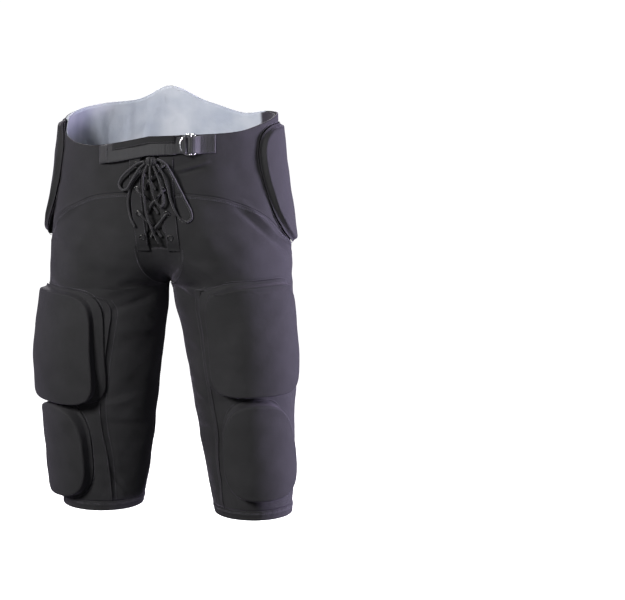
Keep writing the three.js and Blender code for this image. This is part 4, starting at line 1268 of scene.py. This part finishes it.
def make_plackets():
    """Flat strips beside the opening: rounded edges, and a cosine that puffs between eyelets."""
    for half in HALVES:
        row, column = np.meshgrid(shares(121), shares(31), indexing="ij")
        z = -mix(PLACKET_TOP, FLY_BASE + 0.003, row)
        edge = np.minimum(np.minimum(column, 1 - column) * PLACKET_WIDTH,
                          np.minimum(row, 1 - row) * 0.12) / 0.0012
        puff = 0.0006 * np.cos(2 * np.pi * (row * (FLY_BASE - PLACKET_TOP) - 0.011) / EYELET_STEP)
        rounded = PLACKET_WALL * (0.35 + 0.65 * np.sqrt(1 - (1 - np.clip(edge, 0, 1)) ** 2))
        rounded = rounded * mix(0.15, 1, smooth((1 - row) * 0.12 / 0.016))
        rounded = rounded + puff * np.clip(edge / 2, 0, 1) * np.sin(np.pi * column)
        across = half.side * (FLY_HALF + 0.0005 + column * PLACKET_WIDTH)
        outer = on_front(across, z, LAY_GAP + rounded)
        inner = on_front(across, z, LAY_GAP + 0 * z)
        uv = np.stack([column * PLACKET_WIDTH, z], axis=-1)
        piece = sheet_piece(f"placket_{half.name}", outer, inner, uv, hem_knit, "knit")
        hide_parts(f"fly_placket_{half.name}")
        declare_sheet(outer)
        lines = []
        for share in (0.10, 0.93):
            drop = np.linspace(-PLACKET_TOP - 0.003, -FLY_BASE + 0.006, 200)
            side = half.side * (FLY_HALF + 0.0005 + share * PLACKET_WIDTH) + 0 * drop
            lines.append(front_line(side, drop, LAY_GAP + PLACKET_WALL))
        stitch_piece(f"placket_stitches_{half.name}", lines, pitch=0.003, long=0.0021)


def make_gore():
    """A strip behind the opening that sags inwards by a product of a sine and a cosine."""
    row, column = np.meshgrid(shares(81), shares(41), indexing="ij")
    across = mix(-GORE_HALF, GORE_HALF, column)
    z = mix(-PLACKET_TOP + 0.004, -0.004 - FLY_BASE, row)
    sag = 0.0008 * np.sin(z * 430 + across * 60) * np.cos(across * 50)
    lift = -CLOTH_WALL - LAY_GAP - 0.0002
    outer = on_front(across, z, lift - np.abs(sag))
    inner = on_front(across, z, lift - np.abs(sag) - 0.0012)
    # The gore's darker knit is painted shade.
    piece = sheet_piece("gore_cloth", outer, inner, np.stack([across, z], axis=-1), gore_knit_painted_shade, "knit")
    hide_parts("fly_gore")
    declare_sheet(outer)


# The rim folded over the strap: its ends across the front, its depth and its wall.
RIM_FOLD_FROM, RIM_FOLD_TO = -0.054, 0.031
RIM_FOLD_DEEP, RIM_FOLD_WALL = 0.0095, 0.0013


def make_belt():
    """The strap across the front, its end through the rings, and the tab that holds them."""
    base = LAY_GAP + PLACKET_WALL + SEAM_GAP
    stations = np.array([  # across, lift of the underside, in millimetres
        (-74, 2.4), (-60, 2.5), (-40, 2.6), (-20, 2.7), (0, 2.8), (16, 2.8), (26, 2.6), (33, 1.2),
        (36, 1.0), (38, 2.4), (40, 5.2), (42.5, 7.5), (44.5, 6.0), (46.5, 3.0), (48, 1.5)])
    across = np.linspace(STRAP_FROM, 0.048, 190)
    lift = spline(np.column_stack([stations, np.zeros(len(stations))]), 400)
    lift = np.interp(across * 1000, lift[:, 0], lift[:, 1]) / 1000
    high = rim_on_front(across) - 0.001
    narrow = 0.0012 * smooth((across - 0.030) / 0.006)
    wave = 0.0005 * np.sin(across * 110)
    strap = band_arrays(across, high - STRAP_WIDTH + narrow, high - narrow,
                        lift + wave * (across < 0.02), 0.0019, tilt=0.0016)
    end = np.linspace(STRAP_FROM, STRAP_FROM + 0.013, 24)
    rim_end = rim_on_front(end) - 0.0012
    folded = band_arrays(end, rim_end - STRAP_WIDTH + 0.0005, rim_end, base + 0.0020 + 0 * end, 0.0014)
    piece = bundle("waist_strap", [strap, folded], strap_webbing, "webbing")
    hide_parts("belt_strap")
    # The rim of the hips is folded forward over the top of the strap and stitched.
    across = np.linspace(RIM_FOLD_FROM, RIM_FOLD_TO, 120)
    rim = rim_on_front(across)
    ends = (RIM_FOLD_FROM, RIM_FOLD_FROM + 0.004, RIM_FOLD_TO - 0.004, RIM_FOLD_TO)
    over = np.interp(across, ends, (0.0042, 0.0050, 0.0052, 0.0040))
    fold = band_arrays(across, rim - RIM_FOLD_DEEP, rim + 0.0004, over, RIM_FOLD_WALL)
    bundle("rim_fold", [fold], hem_knit, "knit")
    route = np.array([  # across and lift of the middle, in millimetres
        (80, 1.5), (74, 1.6), (66, 1.8), (61, 3.0), (57.5, 5.0), (53.5, 7.5), (50, 8.3), (47.2, 7.4),
        (46.6, 5.2), (47.8, 3.3), (50.4, 2.7), (52, 3.0)])
    route = spline(np.column_stack([route, np.zeros(len(route))]), 90)[:, :2] / 1000
    slope = unit(np.gradient(route, axis=0))
    level = rim_on_front(np.full(len(route), RING_ACROSS)) - 0.001
    level = mix(level, rim_on_front(route[:, 0]) - 0.001, smooth((route[:, 0] - 0.056) / 0.01))
    angle = circle(20)[None, :]
    up = 0.5 + 0.5 * signed_power(np.sin(angle), 0.25)
    out = 0.00085 * signed_power(np.cos(angle), 0.6)
    narrow = 0.0014 * smooth((0.060 - route[:, 0]) / 0.008)
    z = mix((level - STRAP_WIDTH + narrow)[:, None], (level - narrow)[:, None], up)
    rings = on_front(route[:, :1] + slope[:, 1:] * out, z, route[:, 1:] - slope[:, :1] * out)
    run = run_along(route)
    uv = np.stack(np.broadcast_arrays(up * STRAP_WIDTH, run[:, None]), axis=-1)
    piece = ring_body("ring_tab", rings, uv, strap_webbing, "webbing")
    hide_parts("belt_tab")
    lines = []
    for at, height in ((STRAP_FROM + 0.0105, 0.0061), (STRAP_FROM + 0.0125, 0.0061), (0.064, 0.0032),
                       (0.078, 0.0026)):
        rise = np.linspace(-0.0035, -STRAP_WIDTH + 0.0025, 60) + rim_on_front(np.array([at]))[0]
        side = at + 0 * rise
        lines.append(front_line(side, rise, height))
    across = np.linspace(-0.052, 0.030, 120)
    lines.append(front_line(across, rim_on_front(across) - 0.0078, 0.0065))
    stitch_piece("strap_stitches", lines, pitch=0.0024, long=0.0018)


def make_rings():
    """D-rings: a round wire round a straight bar and half an oval, with softened corners."""
    level = float(rim_on_front(np.array([RING_ACROSS]))[0]) - 0.001 - STRAP_WIDTH / 2
    radius = RING_WIRE / 2
    tall, wide = RING_TALL / 2 - radius, RING_WIDE - RING_WIRE
    for index, name in enumerate(("inner", "outer")):
        lift = LAY_GAP + radius + index * (RING_WIRE + SEAM_GAP)
        across = RING_ACROSS - index * RING_STAGGER
        bar = np.linspace(-1, 1, 14)[:-1, None] * np.array([[0, tall - 0.0016]]) + [wide / 2, 0]
        bend = np.linspace(0, np.pi, 40)
        oval = np.column_stack([wide / 2 - wide * np.sin(bend) ** 0.92, tall * np.cos(bend)])
        flat = np.vstack([bar, oval[:-1]])
        closed = np.vstack([flat[-6:], flat, flat[:6]])
        knots = spline(np.column_stack([closed, np.zeros(len(closed))]), 500)
        skip = int(500 * 5.5 / (len(closed) - 1))
        curve = knots[skip:-skip:4, :2]
        origin, side, rise, top = front_frame(across, level, lift)
        path = origin + curve[:, :1] * side + curve[:, 1:] * rise
        along = unit(np.roll(path, -1, axis=0) - np.roll(path, 1, axis=0))
        sideways = unit(np.cross(along, top))
        angle = circle(16)
        rings = path[:, None] + radius * 0.94 * (np.cos(angle)[None, :, None] * sideways[:, None]
                                                 + np.sin(angle)[None, :, None] * top)
        uv = np.zeros((*rings.shape[:2], 2))
        piece = ring_body(f"d_ring_{name}", rings, uv, nickel, "nickel", closed=True)
        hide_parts(f"belt_ring_{name}")


def front_frame(across, z, lift):
    """A place over the front, with unit ways to the wearer's left, up and outward there."""
    origin, side, top = on_front(np.array([across, across + 0.001, across]), np.full(3, z),
                                 np.array([lift, lift, lift + 0.001]))
    side, top = unit(side - origin), unit(top - origin)
    return origin, side, unit(np.cross(top, side)), top


def eyelet_level(row):
    return -EYELET_TOP - row * EYELET_STEP


def make_eyelets():
    lift = LAY_GAP + PLACKET_WALL + SEAM_GAP
    bend = circle(48)
    profile = np.array([(1.0, 0.0), (0.97, 0.45), (0.86, 0.9), (0.76, 1.0), (0.68, 0.85), (0.63, 0.4),
                        (0.65, -0.2), (0.85, -0.2)]) * (EYELET_OUTER, 0.0012)
    for half in HALVES:
        for row in range(EYELET_ROWS):
            across, z = half.side * EYELET_ACROSS, eyelet_level(row)
            origin, side, rise, top = front_frame(across, z, lift)
            spoke = np.cos(bend)[:, None] * side + np.sin(bend)[:, None] * rise
            rings = origin + profile[None, :, :1] * spoke[:, None] + profile[None, :, 1:] * top
            piece = ring_body(f"metal_eyelet_{half.name}_{row + 1}", rings, np.zeros((48, 8, 2)),
                              lacquer, "eyelet_black", closed=True)
            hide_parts(f"eyelet_{half.name}_{row + 1}")


def make_lacing():
    """Each strand comes up through an eyelet, crosses the opening and goes under the other edge."""
    base = LAY_GAP + PLACKET_WALL + SEAM_GAP
    high = base + 0.0012 + LACE_WIDE / 2 + 0.0003
    low = -CLOTH_WALL - LAY_GAP + LACE_WIDE / 2 + 0.0003
    for row in range(EYELET_ROWS - 1):
        a, b = eyelet_level(row), eyelet_level(row + 1)
        for name, side, middle in (("under", 1, low + 0.0006), ("over", -1, low + LACE_WIDE + 0.0013)):
            knots = np.array([(-side * EYELET_ACROSS, a, base + 0.001),
                              (-side * (EYELET_ACROSS - 0.0016), a - 0.0004, high),
                              (-side * 0.010, mix(a, b, 0.27), (high + middle) / 2),
                              (0, mix(a, b, 0.62), middle), (side * 0.007, b, low)])
            path = on_front(*spline(knots, 60).T)
            piece = tube(f"lacing_{name}_{row + 1}", path, LACE_WIDE / 2, lace_braid, "lace")
            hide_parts(f"lace_{name}_{row + 1}")


def make_knot():
    """The tied knot: two turns round the middle, over a bight to each side and one below."""
    middle = KNOT / 1000
    parts = []

    def part(across, up, lift, radius=0.0017):
        path = on_front(middle[0] + across / 1000, middle[1] + up / 1000, middle[2] + lift / 1000)
        parts.append(tube_arrays(path, radius, facing=np.array([0.05, 0.1, -1.0])))

    turn = np.linspace(-0.15, 2.15, 70) * np.pi
    part(-1.9 + 0.5 * turn / np.pi, 3.9 * np.cos(turn), 2.9 * np.sin(turn))
    part(1.6 + 0.5 * turn / np.pi, 3.8 * np.cos(turn + 0.3), 2.9 * np.sin(turn + 0.3))
    share = np.linspace(-1, 1, 60)
    part(-4.6 + 2.6 * share**2, 3.2 * share, 0.8 * np.cos(share * 2), 0.0017)
    part(5.4 - 2.4 * share**2, 3.0 * share, 0.8 * np.cos(share * 2), 0.0017)
    part(5.8 * share, -2.0 - 1.6 * np.cos(share * 1.5), 0.6 + 0.5 * np.cos(share * 3), 0.0017)
    part(5.4 * share, 2.4 + 1.0 * np.cos(share * 1.5), -0.6 + 0.4 * np.cos(share * 3), 0.0017)
    piece = bundle("bow_knot", parts, lace_braid, "lace")
    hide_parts("lace_knot")


make_plackets()
make_gore()
make_belt()
make_rings()
make_eyelets()
make_lacing()
make_knot()


# Studio: a pale floor well below the hems, with walls far off, and soft light
def make_stage():
    size, level = 60.0, -1.3
    mesh = bpy.data.meshes.new("floor")
    corners = [(-size, -size), (size, -size), (size, size), (-size, size)]
    mesh.from_pydata([(x, y, z) for z in (level, size) for x, y in corners], [],
                     [(0, 1, 2, 3), (0, 1, 5, 4), (1, 2, 6, 5), (2, 3, 7, 6), (3, 0, 4, 7)])
    floor = bpy.data.objects.new("floor", mesh)
    bpy.context.collection.objects.link(floor)
    paper = Finish("studio_paper", roughness=0.9, specular_ior_level=0.1)
    paper.shader.inputs["Base Color"].default_value = (0.92, 0.92, 0.92, 1)
    paper.shader.inputs["Emission Color"].default_value = (1, 1, 1, 1)
    paper.shader.inputs["Emission Strength"].default_value = 0.97
    mesh.materials.append(paper.material)
    # The paper is lit on its own, so that it stays white without lighting the cloth from below.
    floor.visible_diffuse = False
    floor.visible_glossy = False
    world = bpy.data.worlds.new("studio")
    world.use_nodes = True
    world.node_tree.nodes["Background"].inputs[0].default_value = (0.95, 0.96, 1.0, 1)
    world.node_tree.nodes["Background"].inputs[1].default_value = 0.10
    bpy.context.scene.world = world


def add_light(name, place, aim, size, watts, colour):
    data = bpy.data.lights.new(name, "AREA")
    data.shape = "RECTANGLE"
    data.size, data.size_y = size
    data.energy = watts
    data.color = colour
    light = bpy.data.objects.new(name, data)
    bpy.context.collection.objects.link(light)
    light.location = place
    way = np.array(place) - np.array(aim)
    light.rotation_euler = (np.arctan2(np.hypot(way[0], way[1]), way[2]), 0,
                            np.arctan2(way[0], -way[1]))
    return light


make_stage()
for name, place, aim, size, watts, colour in (
        ("key", (-1.35, -2.7, 1.25), (0, 0, -0.25), (0.7, 0.7), 165, (1, 0.99, 0.97)),
        ("fill", (1.9, -2.6, 0.2), (0, 0, -0.3), (1.0, 1.6), 12, (0.94, 0.92, 1)),
        ("edge_right", (2.3, 0.55, -0.25), (0, 0, -0.28), (0.5, 1.4), 210, (0.80, 0.72, 1)),
        ("edge_left", (-2.4, 0.9, 0.2), (0, 0, -0.3), (0.4, 1.6), 22, (0.85, 0.78, 1)),
        ("back_key", (-0.6, 2.9, 1.3), (0, 0, -0.25), (0.7, 0.7), 110, (1, 0.99, 0.98))):
    add_light(name, place, aim, size, watts, colour)
bpy.context.scene.view_settings.view_transform = "Standard"
bpy.context.scene.view_settings.look = "None"
